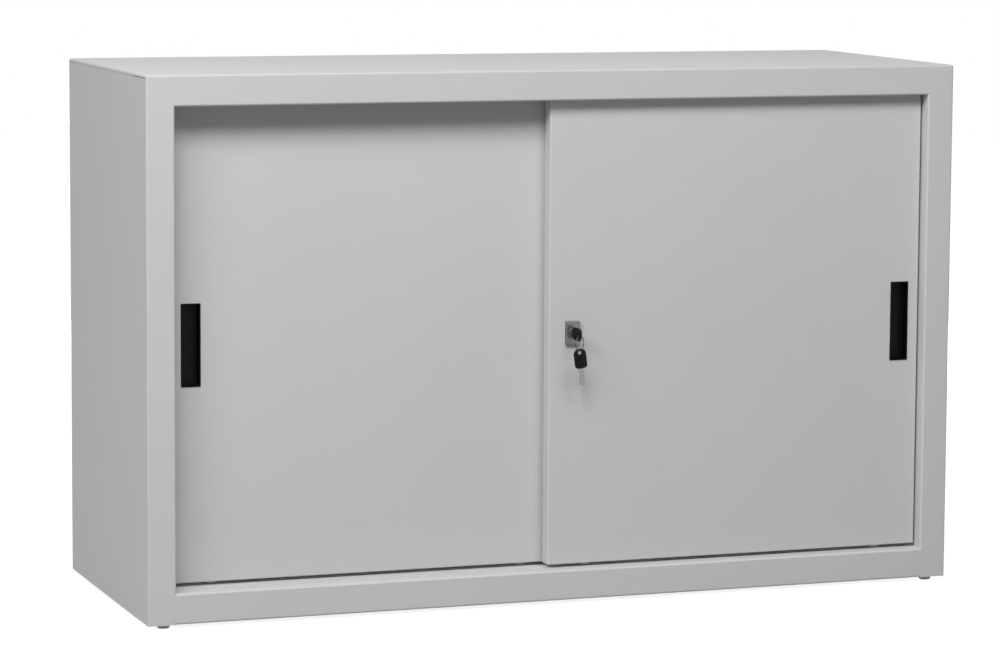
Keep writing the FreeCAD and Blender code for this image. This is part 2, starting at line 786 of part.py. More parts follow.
def handle_cup(label, middle, face):
    """Moulded finger cup with a thin rim over the skin."""
    body = new_body(label)
    block(body, label + "_rim",
          (f"{middle} - handle_width / 2", f"{middle} + handle_width / 2"),
          (f"{face} - handle_proud", face),
          ("handle_level - handle_height / 2", "handle_level + handle_height / 2"))
    round_edges(body, label + "_rim_corners", "handle_rim", lambda edge: runs_along(edge, 1))
    block(body, label + "_cup",
          (f"{middle} - cup_width / 2", f"{middle} + cup_width / 2"),
          (face, f"{face} + handle_depth"),
          ("handle_level - cup_height / 2", "handle_level + cup_height / 2"))
    cavity(body, label + "_hollow",
           (f"{middle} - cup_width / 2 + handle_wall", f"{middle} + cup_width / 2 - handle_wall"),
           (f"{face} - handle_proud", f"{face} + handle_depth - handle_wall"),
           ("handle_level - cup_height / 2 + handle_wall", "handle_level + cup_height / 2 - handle_wall"))
    set_down(body)


def roller_brackets(label, places, middle):
    """Two upturned channels standing on the door's bottom fold, bored for the axles."""
    pieces = []
    foot_level = "door_bottom + sheet"
    for name, place in places:
        outer = simple("Box", f"{label}_{name}_outer",
                       {"Length": "bracket_length", "Width": "2 * cheek_outer", "Height": "bracket_rise"},
                       f"{place} - bracket_length / 2", f"{middle} - cheek_outer", foot_level)
        inner = simple("Box", f"{label}_{name}_inner",
                       {"Length": "bracket_length", "Width": "2 * cheek_inner",
                        "Height": "bracket_rise - cheek"},
                       f"{place} - bracket_length / 2", f"{middle} - cheek_inner", foot_level)
        channel = doc.addObject("Part::Cut", f"{label}_{name}_channel")
        channel.Base = outer
        channel.Tool = inner
        bore = simple("Cylinder", f"{label}_{name}_bore",
                      {"Radius": "axle_radius", "Height": "2 * cheek_outer"},
                      place, f"{middle} + cheek_outer", "roller_level")
        turned(bore, (1, 0, 0), "90")
        bored = doc.addObject("Part::Cut", f"{label}_{name}")
        bored.Base = channel
        bored.Tool = bore
        pieces.append(bored)
    set_down(joined(label, pieces))


def roller_axles(label, places, middle):
    """Plain pins through the brackets' cheeks, riveted over at both ends."""
    pieces = []
    for name, place in places:
        steps = [
            ("pin", "axle_radius", "2 * cheek_outer", f"{middle} + cheek_outer"),
            ("front_head", "axle_head_radius", "axle_head", f"{middle} - cheek_outer"),
            ("rear_head", "axle_head_radius", "axle_head", f"{middle} + cheek_outer + axle_head"),
        ]
        rounds = []
        for step, radius, length, start in steps:
            rounds.append(simple("Cylinder", f"{label}_{name}_{step}", {"Radius": radius, "Height": length},
                                 place, start, "roller_level"))
            turned(rounds[-1], (1, 0, 0), "90")
        axle = doc.addObject("Part::MultiFuse", f"{label}_{name}")
        axle.Shapes = rounds
        pieces.append(axle)
    set_down(joined(label, pieces))


def roller(label, place, middle):
    """Nylon wheel with a groove that sits over the rib of the lower track."""
    body = new_body(label)
    section = sketch_on(body, label + "_section", "XY_Plane")
    outline(section, [
        ("axle_radius + running_gap", "-roller_width / 2"),
        ("flange_radius", "-roller_width / 2"),
        ("flange_radius", "-groove_width / 2"),
        ("groove_radius", "-groove_width / 2"),
        ("groove_radius", "groove_width / 2"),
        ("flange_radius", "groove_width / 2"),
        ("flange_radius", "roller_width / 2"),
        ("axle_radius + running_gap", "roller_width / 2"),
    ])
    turning = body.newObject("PartDesign::Revolution", label + "_turning")
    turning.Profile = section
    turning.ReferenceAxis = (section, ["V_Axis"])
    turning.Angle = 360
    doc.recompute()
    set_down(body, place, middle, "roller_level")


def guide_shoes(label, places, middle):
    """Two nylon blocks on the door's top fold that run between the upper track's fins."""
    pieces = []
    for name, place in places:
        shoe = simple("Box", f"{label}_{name}_block",
                      {"Length": "shoe_length", "Width": "shoe_width", "Height": "shoe_height"},
                      f"{place} - shoe_length / 2", f"{middle} - shoe_width / 2", "door_top")
        pieces.append(shoe)
    set_down(joined(label, pieces))


def door(hand_name, left, face, middle, handle_x, lock):
    """Everything that slides with one door."""
    right = f"{left} + door_width"
    wheels = [("left", f"{left} + roller_inset"), ("right", f"{right} - roller_inset")]
    shoes = [("left", f"{left} + shoe_inset"), ("right", f"{right} - shoe_inset")]
    door_skin(hand_name + "_door_skin", left, face, handle_x, lock)
    door_stiffener(hand_name + "_door_stiffener", f"{left} + door_width / 2", face)
    handle_cup(hand_name + "_handle_cup", handle_x, face)
    roller_brackets(hand_name + "_roller_brackets", wheels, middle)
    roller_axles(hand_name + "_roller_axles", wheels, middle)
    guide_shoes(hand_name + "_guide_shoes", shoes, middle)
    for end, place in wheels:
        roller(f"{hand_name}_door_{end}_roller", place, middle)


# ---------------------------------------------------------------------------------------------
# Lock and keys
# ---------------------------------------------------------------------------------------------

def lock_housing():
    """Die-cast body: face plate on the skin, block through it, bores for barrel and bolt."""
    body = new_body("lock_housing")
    face = "door_setback"
    block(body, "lock_face",
          ("lock_x - lock_width / 2", "lock_x + lock_width / 2"),
          (f"{face} - lock_proud", face),
          ("lock_level - lock_height / 2", "lock_level + lock_height / 2"))
    round_edges(body, "lock_face_corners", "lock_corner", lambda edge: runs_along(edge, 1))
    front = number(f"{face} - lock_proud")
    round_edges(body, "lock_face_edges", "lock_rim", lambda edge: lies_in(edge, 1, front))
    block(body, "lock_block",
          ("lock_x - body_of_lock_width / 2", "lock_x + body_of_lock_width / 2"),
          (face, "lock_rear"),
          ("lock_level - body_of_lock_height / 2", "lock_level + body_of_lock_height / 2"))
    barrel = sketch_on(body, "lock_barrel_bore", "XZ_Plane", f"-({face} - lock_proud)")
    circle(barrel, "lock_x", "lock_level", "barrel_radius + running_gap")
    pocket(body, barrel, "barrel_length - barrel_proud")
    bolt = sketch_on(body, "lock_bolt_bore", "XZ_Plane", "-lock_rear")
    circle(bolt, "lock_x", "lock_level - bolt_drop", "bolt_radius + running_gap")
    pocket(body, bolt, "bolt_length - lock_rear_gap + running_gap", reverse=True)
    set_down(body)


def lock_clip():
    """Plate slipped over the lock's block, against the back of the skin."""
    body = new_body("lock_clip")
    start = "door_setback + sheet"
    span_x = "body_of_lock_width / 2 + clip_margin"
    span_z = "body_of_lock_height / 2 + clip_margin"
    block(body, "clip_sheet", (f"lock_x - ({span_x})", f"lock_x + ({span_x})"),
          (start, f"{start} + clip_plate"), (f"lock_level - ({span_z})", f"lock_level + ({span_z})"))
    cavity(body, "clip_window",
           ("lock_x - body_of_lock_width / 2", "lock_x + body_of_lock_width / 2"),
           (start, f"{start} + clip_plate"),
           ("lock_level - body_of_lock_height / 2", "lock_level + body_of_lock_height / 2"))
    set_down(body)


def lock_barrel():
    """Turning cylinder with a straight keyway."""
    body = new_body("lock_barrel")
    face = sketch_on(body, "barrel_face", "XZ_Plane", "-barrel_front")
    circle(face, "lock_x", "lock_level", "barrel_radius")
    pad(body, face, "barrel_length", reverse=True)
    keyway = sketch_on(body, "barrel_keyway", "XZ_Plane", "-barrel_front")
    half_x = "blade_thick / 2 + blade_gap"
    half_z = "blade_width / 2 + blade_gap"
    rectangle(keyway, f"lock_x - ({half_x})", f"lock_x + ({half_x})",
              f"lock_level - ({half_z})", f"lock_level + ({half_z})")
    pocket(body, keyway, "key_tip + blade_gap - barrel_front")
    set_down(body)


def lock_bolt():
    """Round bolt below the barrel; it is driven out beside the rear door's edge."""
    body = new_body("lock_bolt")
    tip = sketch_on(body, "bolt_tip", "XZ_Plane", "-(door_setback + door_thick)")
    circle(tip, "lock_x", "lock_level - bolt_drop", "bolt_radius")
    pad(body, tip, "bolt_length")
    set_down(body)


def key_bow(label):
    """Moulded grip lying in the XZ plane, its hole's centre at the origin, blade end down."""
    body = new_body(label)
    half = "bow_width / 2"
    high = "bow_hole_inset"
    low = "bow_hole_inset - bow_length"
    flat = sketch_on(body, label + "_outline", "XZ_Plane")
    outline(flat, [
        (f"-{half} + bow_shoulder", high),
        (f"{half} - bow_shoulder", high),
        (half, f"{high} - bow_shoulder"),
        (half, f"{low} + bow_shoulder"),
        ("blade_width / 2 + bow_end_margin", low),
        ("-blade_width / 2 - bow_end_margin", low),
        (f"-{half}", f"{low} + bow_shoulder"),
        (f"-{half}", f"{high} - bow_shoulder"),
    ])
    pad(body, flat, "bow_thick", midplane=True)
    thick = number("bow_thick") / 2
    round_edges(body, label + "_rim", "bow_round",
                lambda edge: lies_in(edge, 1, thick) or lies_in(edge, 1, -thick))
    hole = sketch_on(body, label + "_hole", "XZ_Plane")
    circle(hole, "0", "0", "bow_hole_radius")
    pocket(body, hole, "bow_thick", midplane=True)
    return body


def key_blade(label):
    """Flat steel blade in the same place as its bow, with a pointed tip."""
    body = new_body(label)
    start = "bow_hole_inset - bow_length"
    tip = f"{start} - blade_length"
    flat = sketch_on(body, label + "_outline", "XZ_Plane")
    outline(flat, [
        ("-blade_width / 2", start),
        ("-blade_width / 2", f"{tip} + blade_point"),
        ("-blade_width / 2 + blade_point", tip),
        ("blade_width / 2 - blade_point", tip),
        ("blade_width / 2", f"{tip} + blade_point"),
        ("blade_width / 2", start),
    ])
    pad(body, flat, "blade_thick", midplane=True)
    return body


def keys():
    """One key in the lock, its ring, and the spare key hanging from the ring."""
    for label, make in (("key_bow", key_bow), ("key_blade", key_blade)):
        piece = make(label)
        # Blade end turned from down to back, and the flat of the key upright.
        piece.Placement.Rotation = FreeCAD.Rotation(
            FreeCAD.Vector(0, 0, 1), FreeCAD.Vector(-1, 0, 0), FreeCAD.Vector(0, -1, 0), "ZXY")
        set_down(piece, "lock_x", "hole_y", "lock_level")
    loop = simple("Torus", "key_ring_loop", {"Radius1": "ring_radius", "Radius2": "ring_wire"})
    loop.Label = "key_ring"
    loop.Placement.Rotation = FreeCAD.Rotation(number("ring_turn"), 0, 90)
    PARTS.append(loop)
    set_down(loop, "lock_x", "hole_y", "ring_top - ring_radius")
    for label, make in (("spare_key_bow", key_bow), ("spare_key_blade", key_blade)):
        piece = make(label)
        turned(piece, (0, -1, 0), "spare_lean")
        set_down(piece, "lock_x", "hole_y", "spare_hole")


# ---------------------------------------------------------------------------------------------
# The whole cabinet
# ---------------------------------------------------------------------------------------------

side_panel("left_side_panel", -1)
side_panel("right_side_panel", 1)
top_panel()
base_panel()
back_panel()
for side_name, side_sign in (("left", -1), ("right", 1)):
    for end_name, at_rear in (("front", False), ("rear", True)):
        foot_bracket(f"{end_name}_{side_name}_foot_bracket", side_sign, at_rear)
        foot(f"{end_name}_{side_name}_foot", side_sign, at_rear)
        shelf_strip(f"{end_name}_{side_name}_shelf_strip", side_sign, f"strip_{end_name}")
    post_buffers(f"{side_name}_post_buffers", side_sign)
upper_track()
lower_track()
shelf()
shelf_brace()
shelf_clips()
door("left", "door_left_edge", "rear_setback", "rear_middle", "door_left_edge + handle_inset", False)
door("right", "-door_left_edge - door_width", "door_setback", "front_middle",
     "-door_left_edge - handle_inset", True)
lock_housing()
lock_clip()
lock_barrel()
lock_bolt()
keys()
doc.recompute()

for item in doc.Objects:
    if "Invalid" in item.State or "Error" in item.State:
        raise RuntimeError(f"{item.Name} is not built: {item.State}")
for item in PARTS:
    if item.Shape.isNull() or not item.Shape.isValid() or item.Shape.Volume <= 0:
        raise RuntimeError(f"{item.Label} has no valid shape")

os.makedirs("parts", exist_ok=True)
for item in PARTS:
    item.Shape.exportStep(f"parts/{item.Label}.step")
print(f"{len(PARTS)} nodes written")
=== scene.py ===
import json
import math
import bmesh
import bpy
from mathutils import Matrix, Vector


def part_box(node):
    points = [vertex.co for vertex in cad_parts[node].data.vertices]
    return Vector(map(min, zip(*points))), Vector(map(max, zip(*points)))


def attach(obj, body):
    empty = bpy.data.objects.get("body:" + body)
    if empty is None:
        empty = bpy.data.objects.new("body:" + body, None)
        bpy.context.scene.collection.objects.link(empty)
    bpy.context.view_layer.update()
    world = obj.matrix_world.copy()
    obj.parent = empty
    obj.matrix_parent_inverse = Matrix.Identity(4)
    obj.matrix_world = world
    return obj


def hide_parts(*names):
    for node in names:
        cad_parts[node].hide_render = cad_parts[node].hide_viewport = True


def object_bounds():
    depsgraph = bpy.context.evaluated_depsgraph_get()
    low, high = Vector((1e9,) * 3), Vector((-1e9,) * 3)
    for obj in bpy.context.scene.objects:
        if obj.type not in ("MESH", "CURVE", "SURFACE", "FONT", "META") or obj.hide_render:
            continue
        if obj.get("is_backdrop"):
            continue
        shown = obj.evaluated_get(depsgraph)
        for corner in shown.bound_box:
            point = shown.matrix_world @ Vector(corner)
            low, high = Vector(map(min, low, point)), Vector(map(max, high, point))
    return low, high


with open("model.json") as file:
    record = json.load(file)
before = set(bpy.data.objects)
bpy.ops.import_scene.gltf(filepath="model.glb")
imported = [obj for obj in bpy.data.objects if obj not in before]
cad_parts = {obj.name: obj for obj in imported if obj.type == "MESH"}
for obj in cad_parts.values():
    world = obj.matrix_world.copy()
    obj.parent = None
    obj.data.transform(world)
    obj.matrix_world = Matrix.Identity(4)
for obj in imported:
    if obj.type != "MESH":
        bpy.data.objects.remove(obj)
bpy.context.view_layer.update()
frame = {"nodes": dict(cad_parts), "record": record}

# ---------------------------------------------------------------------------------------------
# Studio: a pale floor that runs on into white. Three large soft lamps hang high in front, the right
# one the weakest, a faint one stands at the left, and a low one lights the back. The camera is a
# long lens a little above the cabinet's top, turned 20 degrees to the right.
# ---------------------------------------------------------------------------------------------

MM = 0.001
IMAGE_WIDTH = 1000
FLOOR_GREY = "#A8A8A7"
FLOOR_RADIUS = 9.0
SHADED_WIDTH, SHADED_DEPTH = 1.14, 0.32     # patch of floor under the cabinet
SHADED_BACK, SHADED_LIFT = 0.04, 0.3 * MM   # its middle behind the origin, and above the floor


def linear(hex_colour):
    """sRGB hex colour as the linear values that a shader takes."""
    channels = [int(hex_colour[start:start + 2], 16) / 255 for start in (1, 3, 5)]
    bright = [c / 12.92 if c <= 0.04045 else ((c + 0.055) / 1.055) ** 2.4 for c in channels]
    return (*bright, 1.0)


def add_node(tree, kind, values=(), **settings):
    """New node with its settings and values.

    A value is keyed by its socket's name, or by its number where names repeat. It is a number, a
    colour or the output that it is linked to.
    """
    node = tree.nodes.new("ShaderNode" + kind)
    for key, value in settings.items():
        setattr(node, key, value)
    for key, value in dict(values).items():
        if isinstance(value, bpy.types.NodeSocket):
            tree.links.new(value, node.inputs[key])
        else:
            node.inputs[key].default_value = value
    return node


def new_material(name):
    """Empty material and its node tree, with the output waiting for a shader."""
    material = bpy.data.materials.new(name)
    material.use_nodes = True
    material.node_tree.nodes.clear()
    return material, material.node_tree


def seen_directly(tree):
    """1 for the camera and for what mirrors or glass show, and 0 for the light that falls on things."""
    path = add_node(tree, "LightPath")
    direct = add_node(tree, "Math", {0: path.outputs["Is Camera Ray"], 1: path.outputs["Is Glossy Ray"]},
                      operation="MAXIMUM")
    return add_node(tree, "Math", {0: direct.outputs[0], 1: path.outputs["Is Transmission Ray"]},
                    operation="MAXIMUM").outputs[0]


def show(item):
    """Put an object in the scene."""
    bpy.context.scene.collection.objects.link(item)


camera_data = bpy.data.cameras.new("studio_camera")
camera = bpy.data.objects.new("studio_camera", camera_data)
show(camera)
bpy.context.scene.camera = camera
focal_pixels = 3766.7
axis_right, axis_up = 40.0, 50.0            # lens axis from the image's middle, in pixels
camera_data.sensor_width = 36.0
camera_data.lens = focal_pixels / IMAGE_WIDTH * camera_data.sensor_width
camera_data.shift_x = -axis_right / IMAGE_WIDTH
camera_data.shift_y = -axis_up / IMAGE_WIDTH
camera.location = (-1.8444, -5.1234, 1.0400)
yaw, pitch, roll = math.radians(20.225), math.radians(6.363), math.radians(0.415)
look = Vector((math.sin(yaw) * math.cos(pitch), math.cos(yaw) * math.cos(pitch), -math.sin(pitch)))
camera.rotation_mode = "QUATERNION"
camera.rotation_quaternion = look.to_track_quat("-Z", "Y") @ Matrix.Rotation(roll, 3, "Z").to_quaternion()

world = bpy.data.worlds.new("studio_room")
bpy.context.scene.world = world
world.use_nodes = True
world.node_tree.nodes.clear()
room_fill = 0.06
room = world.node_tree
strength = add_node(room, "Mix", {0: seen_directly(room), 2: room_fill, 3: 1.0})
white = add_node(room, "Background", {"Color": (1.0, 1.0, 1.0, 1.0), "Strength": strength.outputs[0]})
add_node(room, "OutputWorld", {"Surface": white.outputs[0]})

floor_mesh = bmesh.new()
bmesh.ops.create_circle(floor_mesh, cap_ends=True, segments=64, radius=FLOOR_RADIUS)
floor_data = bpy.data.meshes.new("studio_floor")
floor_mesh.to_mesh(floor_data)
floor_mesh.free()
floor = bpy.data.objects.new("studio_floor", floor_data)
show(floor)
floor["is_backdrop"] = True
floor_material, tree = new_material("pale studio floor")
near_glow, glow_reach = 0.86, 4.5           # lifts the floor to white for the camera only
matt_floor = add_node(tree, "BsdfDiffuse", {"Color": linear(FLOOR_GREY)})
spread = add_node(tree, "Mapping", {"Vector": add_node(tree, "TexCoord").outputs["Object"],
                                    "Scale": (1 / glow_reach, 1 / glow_reach, 1.0)})
nearness = add_node(tree, "TexGradient", {"Vector": spread.outputs[0]}, gradient_type="SPHERICAL")
glow_level = add_node(tree, "MapRange", {0: nearness.outputs[1], 3: 1.0, 4: near_glow})
floor_glow = add_node(tree, "Emission", {"Color": (1.0, 1.0, 1.0, 1.0), "Strength": glow_level.outputs[0]})
lifted = add_node(tree, "AddShader", {0: matt_floor.outputs[0], 1: floor_glow.outputs[0]})
floor_shader = add_node(tree, "MixShader", {0: seen_directly(tree), 1: matt_floor.outputs[0],
                                            2: lifted.outputs[0]})
add_node(tree, "OutputMaterial", {"Surface": floor_shader.outputs[0]})
floor_data.materials.append(floor_material)

# The floor under the cabinet shows through its slots, so it isn't lifted to white there.
shaded_mesh = bmesh.new()
bmesh.ops.create_grid(shaded_mesh, size=0.5)     # one metre square
bmesh.ops.scale(shaded_mesh, vec=(SHADED_WIDTH, SHADED_DEPTH, 1.0), verts=shaded_mesh.verts[:])
bmesh.ops.translate(shaded_mesh, vec=(0.0, SHADED_BACK, SHADED_LIFT), verts=shaded_mesh.verts[:])
shaded_data = bpy.data.meshes.new("studio_floor_underneath")
shaded_mesh.to_mesh(shaded_data)
shaded_mesh.free()
shaded_floor = bpy.data.objects.new("studio_floor_underneath", shaded_data)
show(shaded_floor)
shaded_floor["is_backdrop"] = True
shaded_material, tree = new_material("shaded studio floor")
shade = add_node(tree, "BsdfDiffuse", {"Color": linear(FLOOR_GREY)})
add_node(tree, "OutputMaterial", {"Surface": shade.outputs[0]})
shaded_data.materials.append(shaded_material)


def soft_lamp(name, place, aim, width, height, watts):
    """Rectangular lamp that shines from one point towards another."""
    data = bpy.data.lights.new(name, "AREA")
    data.shape = "RECTANGLE"
    data.size = width
    data.size_y = height
    data.energy = watts
    lamp = bpy.data.objects.new(name, data)
    lamp.location = place
    lamp.rotation_euler = (Vector(aim) - Vector(place)).to_track_quat("-Z", "Y").to_euler()
    lamp.visible_camera = False
    show(lamp)


soft_lamp("front_lamp", place=(-1.5, -2.6, 3.4), aim=(0.0, 0.0, 0.4), width=1.6, height=1.4, watts=93.0)
soft_lamp("left_lamp", place=(-3.4, -2.2, 3.0), aim=(0.0, 0.0, 0.4), width=1.6, height=1.6, watts=67.0)
soft_lamp("right_lamp", place=(0.6, -2.8, 3.4), aim=(0.0, 0.0, 0.4), width=1.6, height=1.4, watts=47.0)
soft_lamp("side_lamp", place=(-3.3, 0.4, 2.2), aim=(-0.6, 0.0, 0.5), width=1.6, height=1.6, watts=3.0)
soft_lamp("rear_lamp", place=(0.9, 3.0, 0.42), aim=(0.0, 0.2, 0.38), width=3.2, height=0.6, watts=70.0)
bpy.context.scene.view_settings.view_transform = "Standard"

# ---------------------------------------------------------------------------------------------
# Side panels: one sheet of 1 mm mild steel each, folded on a press brake into the side skin, the
# front post with its return and lip, and the rear flange. The whole carcass is spot welded, which
# leaves shallow round marks down the rear flanges, and it is powder coated in light grey.
# ---------------------------------------------------------------------------------------------

SHEET = 1.0 * MM
FOLD_RADIUS = 3.0 * MM
FOLD_STEPS = 6
POST_FACE = 40.0 * MM
POST_DEPTH = 72.0 * MM
POST_LIP = 12.0 * MM
REAR_FLANGE = 18.0 * MM
WELD_COUNT = 9
WELD_INSET = 30.0 * MM                      # first and last weld from the flange's ends
WELD_RADIUS = 3.0 * MM
WELD_SINK = 0.3 * MM
WELD_FLOOR = 0.7                            # radius of a mark's floor, as a share of its rim's
WELD_STEPS = 16
SQUARE_FOLD = math.radians(60)              # walls that meet more steeply than this have a fold
SOFT_EDGE = math.radians(35)                # edges flatter than this are shaded smooth
TINY = 0.001 * MM
NOISE_LOW, NOISE_HIGH = 0.3, 0.7            # most of a noise pattern lies between these


def noise(tree, place, width, detail=0.0):
    """Noise pattern with lumps about one width across."""
    return add_node(tree, "TexNoise", {"Vector": place, "Scale": 1 / width, "Detail": detail}).outputs[0]


def spread_between(tree, pattern, low, high):
    """Values between two limits that follow a noise pattern."""
    return add_node(tree, "MapRange", {0: pattern, 1: NOISE_LOW, 2: NOISE_HIGH, 3: low,
                                       4: high}).outputs[0]


def powder_coat():
    """Satin polyester powder on steel: faint orange peel, and a level that drifts a little."""
    material, tree = new_material("light grey satin powder coat")
    place = add_node(tree, "TexCoord").outputs["Object"]
    cloud_width, wave_width, peel_width, speck_width = 0.30, 0.22, 0.0034, 0.0011
    cloud = noise(tree, place, cloud_width, detail=2.0)
    tint = add_node(tree, "Mix", {0: cloud, 6: linear("#C5C5C5"), 7: linear("#CACACA")}, data_type="RGBA")
    # The peel's hollows are a few hundredths of a millimetre deep. Real powder has a finer speck than
    # this one, which is drawn coarse enough to show.
    rough = spread_between(tree, noise(tree, place, speck_width), 0.46, 0.54)
    sheet_wave = add_node(tree, "Bump", {"Height": noise(tree, place, wave_width), "Strength": 0.35,
                                         "Distance": 0.0025})
    peeled = add_node(tree, "Bump", {"Height": noise(tree, place, peel_width, detail=1.5),
                                     "Strength": 0.22, "Distance": 0.00012,
                                     "Normal": sheet_wave.outputs[0]})
    coat = add_node(tree, "BsdfPrincipled", {"Base Color": tint.outputs[2], "Roughness": rough,
                                             "IOR": 1.38, "Normal": peeled.outputs[0]})
    add_node(tree, "OutputMaterial", {"Surface": coat.outputs[0]})
    return material


powder_grey = powder_coat()


def new_verts(result):
    """Vertices that an operator has made."""
    return [item for item in result["geom"] if isinstance(item, bmesh.types.BMVert)]


def face_outward(mesh):
    """Make all faces agree on one side, which is the outer one where the mesh is closed."""
    bmesh.ops.recalc_face_normals(mesh, faces=mesh.faces[:])


def round_edges(mesh, edges, radius, steps=FOLD_STEPS):
    """Round edges over, as a press brake, a mould or a file leaves them."""
    bmesh.ops.bevel(mesh, geom=edges, offset=radius, offset_type="OFFSET", affect="EDGES",
                    segments=steps, profile=0.5, material=-1)


def folds(mesh):
    """Edges where two walls meet squarely."""
    return [edge for edge in mesh.edges if edge.is_manifold and edge.calc_face_angle() > SQUARE_FOLD]


def folded_sheet(path, draw, inside):
    """Sheet folded along a path of corners on its outer face and drawn out by a vector.

    A point on the inner side tells which way the outer face looks.
    """
    mesh = bmesh.new()
    corners = [mesh.verts.new(corner) for corner in path]
    edges = [mesh.edges.new(pair) for pair in zip(corners, corners[1:])]
    drawn = bmesh.ops.extrude_edge_only(mesh, edges=edges)
    bmesh.ops.translate(mesh, verts=new_verts(drawn), vec=draw)
    face_outward(mesh)
    wall = max(mesh.faces, key=lambda face: face.calc_area())
    if wall.normal.dot(Vector(inside) - wall.calc_center_median()) > 0:
        bmesh.ops.reverse_faces(mesh, faces=mesh.faces[:])
    round_edges(mesh, folds(mesh), FOLD_RADIUS)
    return mesh


def thicken(mesh):
    """Give an open shell the sheet's thickness, on the inner side."""
    bmesh.ops.solidify(mesh, geom=mesh.faces[:], thickness=SHEET)


def finish_piece(mesh, name, body, slot, material, *replaced):
    """Piece from a finished mesh, which rides on its body and stands for its CAD nodes."""
    data = bpy.data.meshes.new(name)
    mesh.to_mesh(data)
    mesh.free()
    data.shade_smooth()
    data.set_sharp_from_angle(angle=SOFT_EDGE)
    data.materials.append(material)
    piece = bpy.data.objects.new(name, data)
    show(piece)
    level_faces = piece.modifiers.new("flat faces stay flat", "WEIGHTED_NORMAL")
    level_faces.keep_sharp = True
    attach(piece, body)
    if replaced:
        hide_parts(*replaced)


def round_holes(mesh, face, centres, axis, radius, steps):
    """Swap a flat face for one with round holes; returns the edges of each hole."""
    frame_edges = face.edges[:]
    bmesh.ops.delete(mesh, geom=[face], context="FACES_ONLY")
    turned = Vector((0, 0, 1)).rotation_difference(Vector(axis)).to_matrix().to_4x4()
    rims = []
    for centre in centres:
        hole = bmesh.ops.create_circle(mesh, segments=steps, radius=radius,
                                       matrix=Matrix.Translation(centre) @ turned)
        rims.append(list(dict.fromkeys(edge for vert in hole["verts"] for edge in vert.link_edges)))
    bmesh.ops.triangle_fill(mesh, edges=frame_edges + sum(rims, []), use_beauty=True, normal=axis)
    return rims


for side, hand in (("left", -1), ("right", 1)):
    low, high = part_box(f"{side}_side_panel")
    outer = low[0] if hand < 0 else high[0]
    front, back = low[1], high[1]
    plan = [(outer - hand * REAR_FLANGE, back), (outer, back), (outer, front),
            (outer - hand * POST_FACE, front), (outer - hand * POST_FACE, front + POST_DEPTH),
            (outer - hand * (POST_FACE - POST_LIP), front + POST_DEPTH)]
    shell = folded_sheet([(x, y, low[2]) for x, y in plan], (0, 0, high[2] - low[2]), (0, 0, high[2] / 2))
    flange = next(face for face in shell.faces if face.calc_center_median()[1] > back - TINY)
    first, last = low[2] + WELD_INSET, high[2] - WELD_INSET
    weld_pitch = (last - first) / (WELD_COUNT - 1)
    welds = [Vector((outer - hand * REAR_FLANGE / 2, back, first + weld_pitch * index))
             for index in range(WELD_COUNT)]
    for weld, rim in zip(welds, round_holes(shell, flange, welds, (0, 1, 0), WELD_RADIUS, WELD_STEPS)):
        sunk = bmesh.ops.extrude_edge_only(shell, edges=rim)
        for vert in new_verts(sunk):
            vert.co = weld + (vert.co - weld) * WELD_FLOOR + Vector((0, -WELD_SINK, 0))
        bmesh.ops.contextual_create(shell, geom=[item for item in sunk["geom"]
                                                 if isinstance(item, bmesh.types.BMEdge)
                                                 and item.is_boundary])
    thicken(shell)
    finish_piece(shell, f"{side}_side_shell", "carcass", "powder_coated_steel", powder_grey,
                 f"{side}_side_panel")

# ---------------------------------------------------------------------------------------------
# Top panel: a shallow tray of the same sheet whose turned-down edges stand on the side panels. Its
# front runs on down as the top rail with a lip and a turn-up, welded to the posts and ground flush.
# The seam along each side stays open by a hair, and a little wider towards the front.
# ---------------------------------------------------------------------------------------------

EDGE = 5.0 * MM
RAIL_LIP = 13.0 * MM
RAIL_TURNUP = 8.0 * MM
SEAM_START = 4.0 * MM                       # the front corner itself is welded shut
SEAM_GAP = 0.4 * MM                         # open seam between the tray's edge and the side panel
SEAM_WIDE_END = 78.0 * MM                   # up to here the seam stands wider open
SEAM_WIDE_GAP = 0.9 * MM
SIDE_FLANGE = 20.0 * MM
DEBURRED = SHEET / 4                        # round of a flat sheet's cut edges
SAME_WAY = 0.999                            # least cosine between two directions that count as one


def box_mesh(low, high):
    """Closed box between two corners."""
    mesh = bmesh.new()
    bmesh.ops.create_cube(mesh, size=1.0)
    bmesh.ops.scale(mesh, verts=mesh.verts[:], vec=Vector(high) - Vector(low))
    bmesh.ops.translate(mesh, verts=mesh.verts[:], vec=(Vector(low) + Vector(high)) / 2)
    return mesh


def facing(mesh, direction):
    """Flat faces that look one way."""
    mesh.normal_update()
    return [face for face in mesh.faces if face.normal.dot(Vector(direction)) > SAME_WAY]


def cut_faces(mesh, wall, axis, levels):
    """Cut faces across an axis at each level; all the pieces stay."""
    for level in levels:
        place, normal = Vector((0, 0, 0)), Vector((0, 0, 0))
        place[axis], normal[axis] = level, 1.0
        parts = dict.fromkeys(item for face in wall for item in (face, *face.edges, *face.verts))
        cut = bmesh.ops.bisect_plane(mesh, geom=list(parts), dist=TINY, plane_co=place, plane_no=normal)
        wall = [item for item in cut["geom"] if isinstance(item, bmesh.types.BMFace)]
    return wall


def cut_window(mesh, wall, limits):
    """Rectangular hole in flat faces; limits holds a pair of levels along each of two axes."""
    for axis, levels in limits.items():
        wall = cut_faces(mesh, wall, axis, levels)
    hole = [face for face in wall if all(
        levels[0] < face.calc_center_median()[axis] < levels[1] for axis, levels in limits.items())]
    bmesh.ops.delete(mesh, geom=hole, context="FACES")


def draw_edges(mesh, edges, vector):
    """Draw a wall out from edges and return the edges at its far end."""
    drawn = bmesh.ops.extrude_edge_only(mesh, edges=edges)
    bmesh.ops.translate(mesh, verts=new_verts(drawn), vec=vector)
    return [item for item in drawn["geom"] if isinstance(item, bmesh.types.BMEdge)
            and all(vert in new_verts(drawn) for vert in item.verts)]


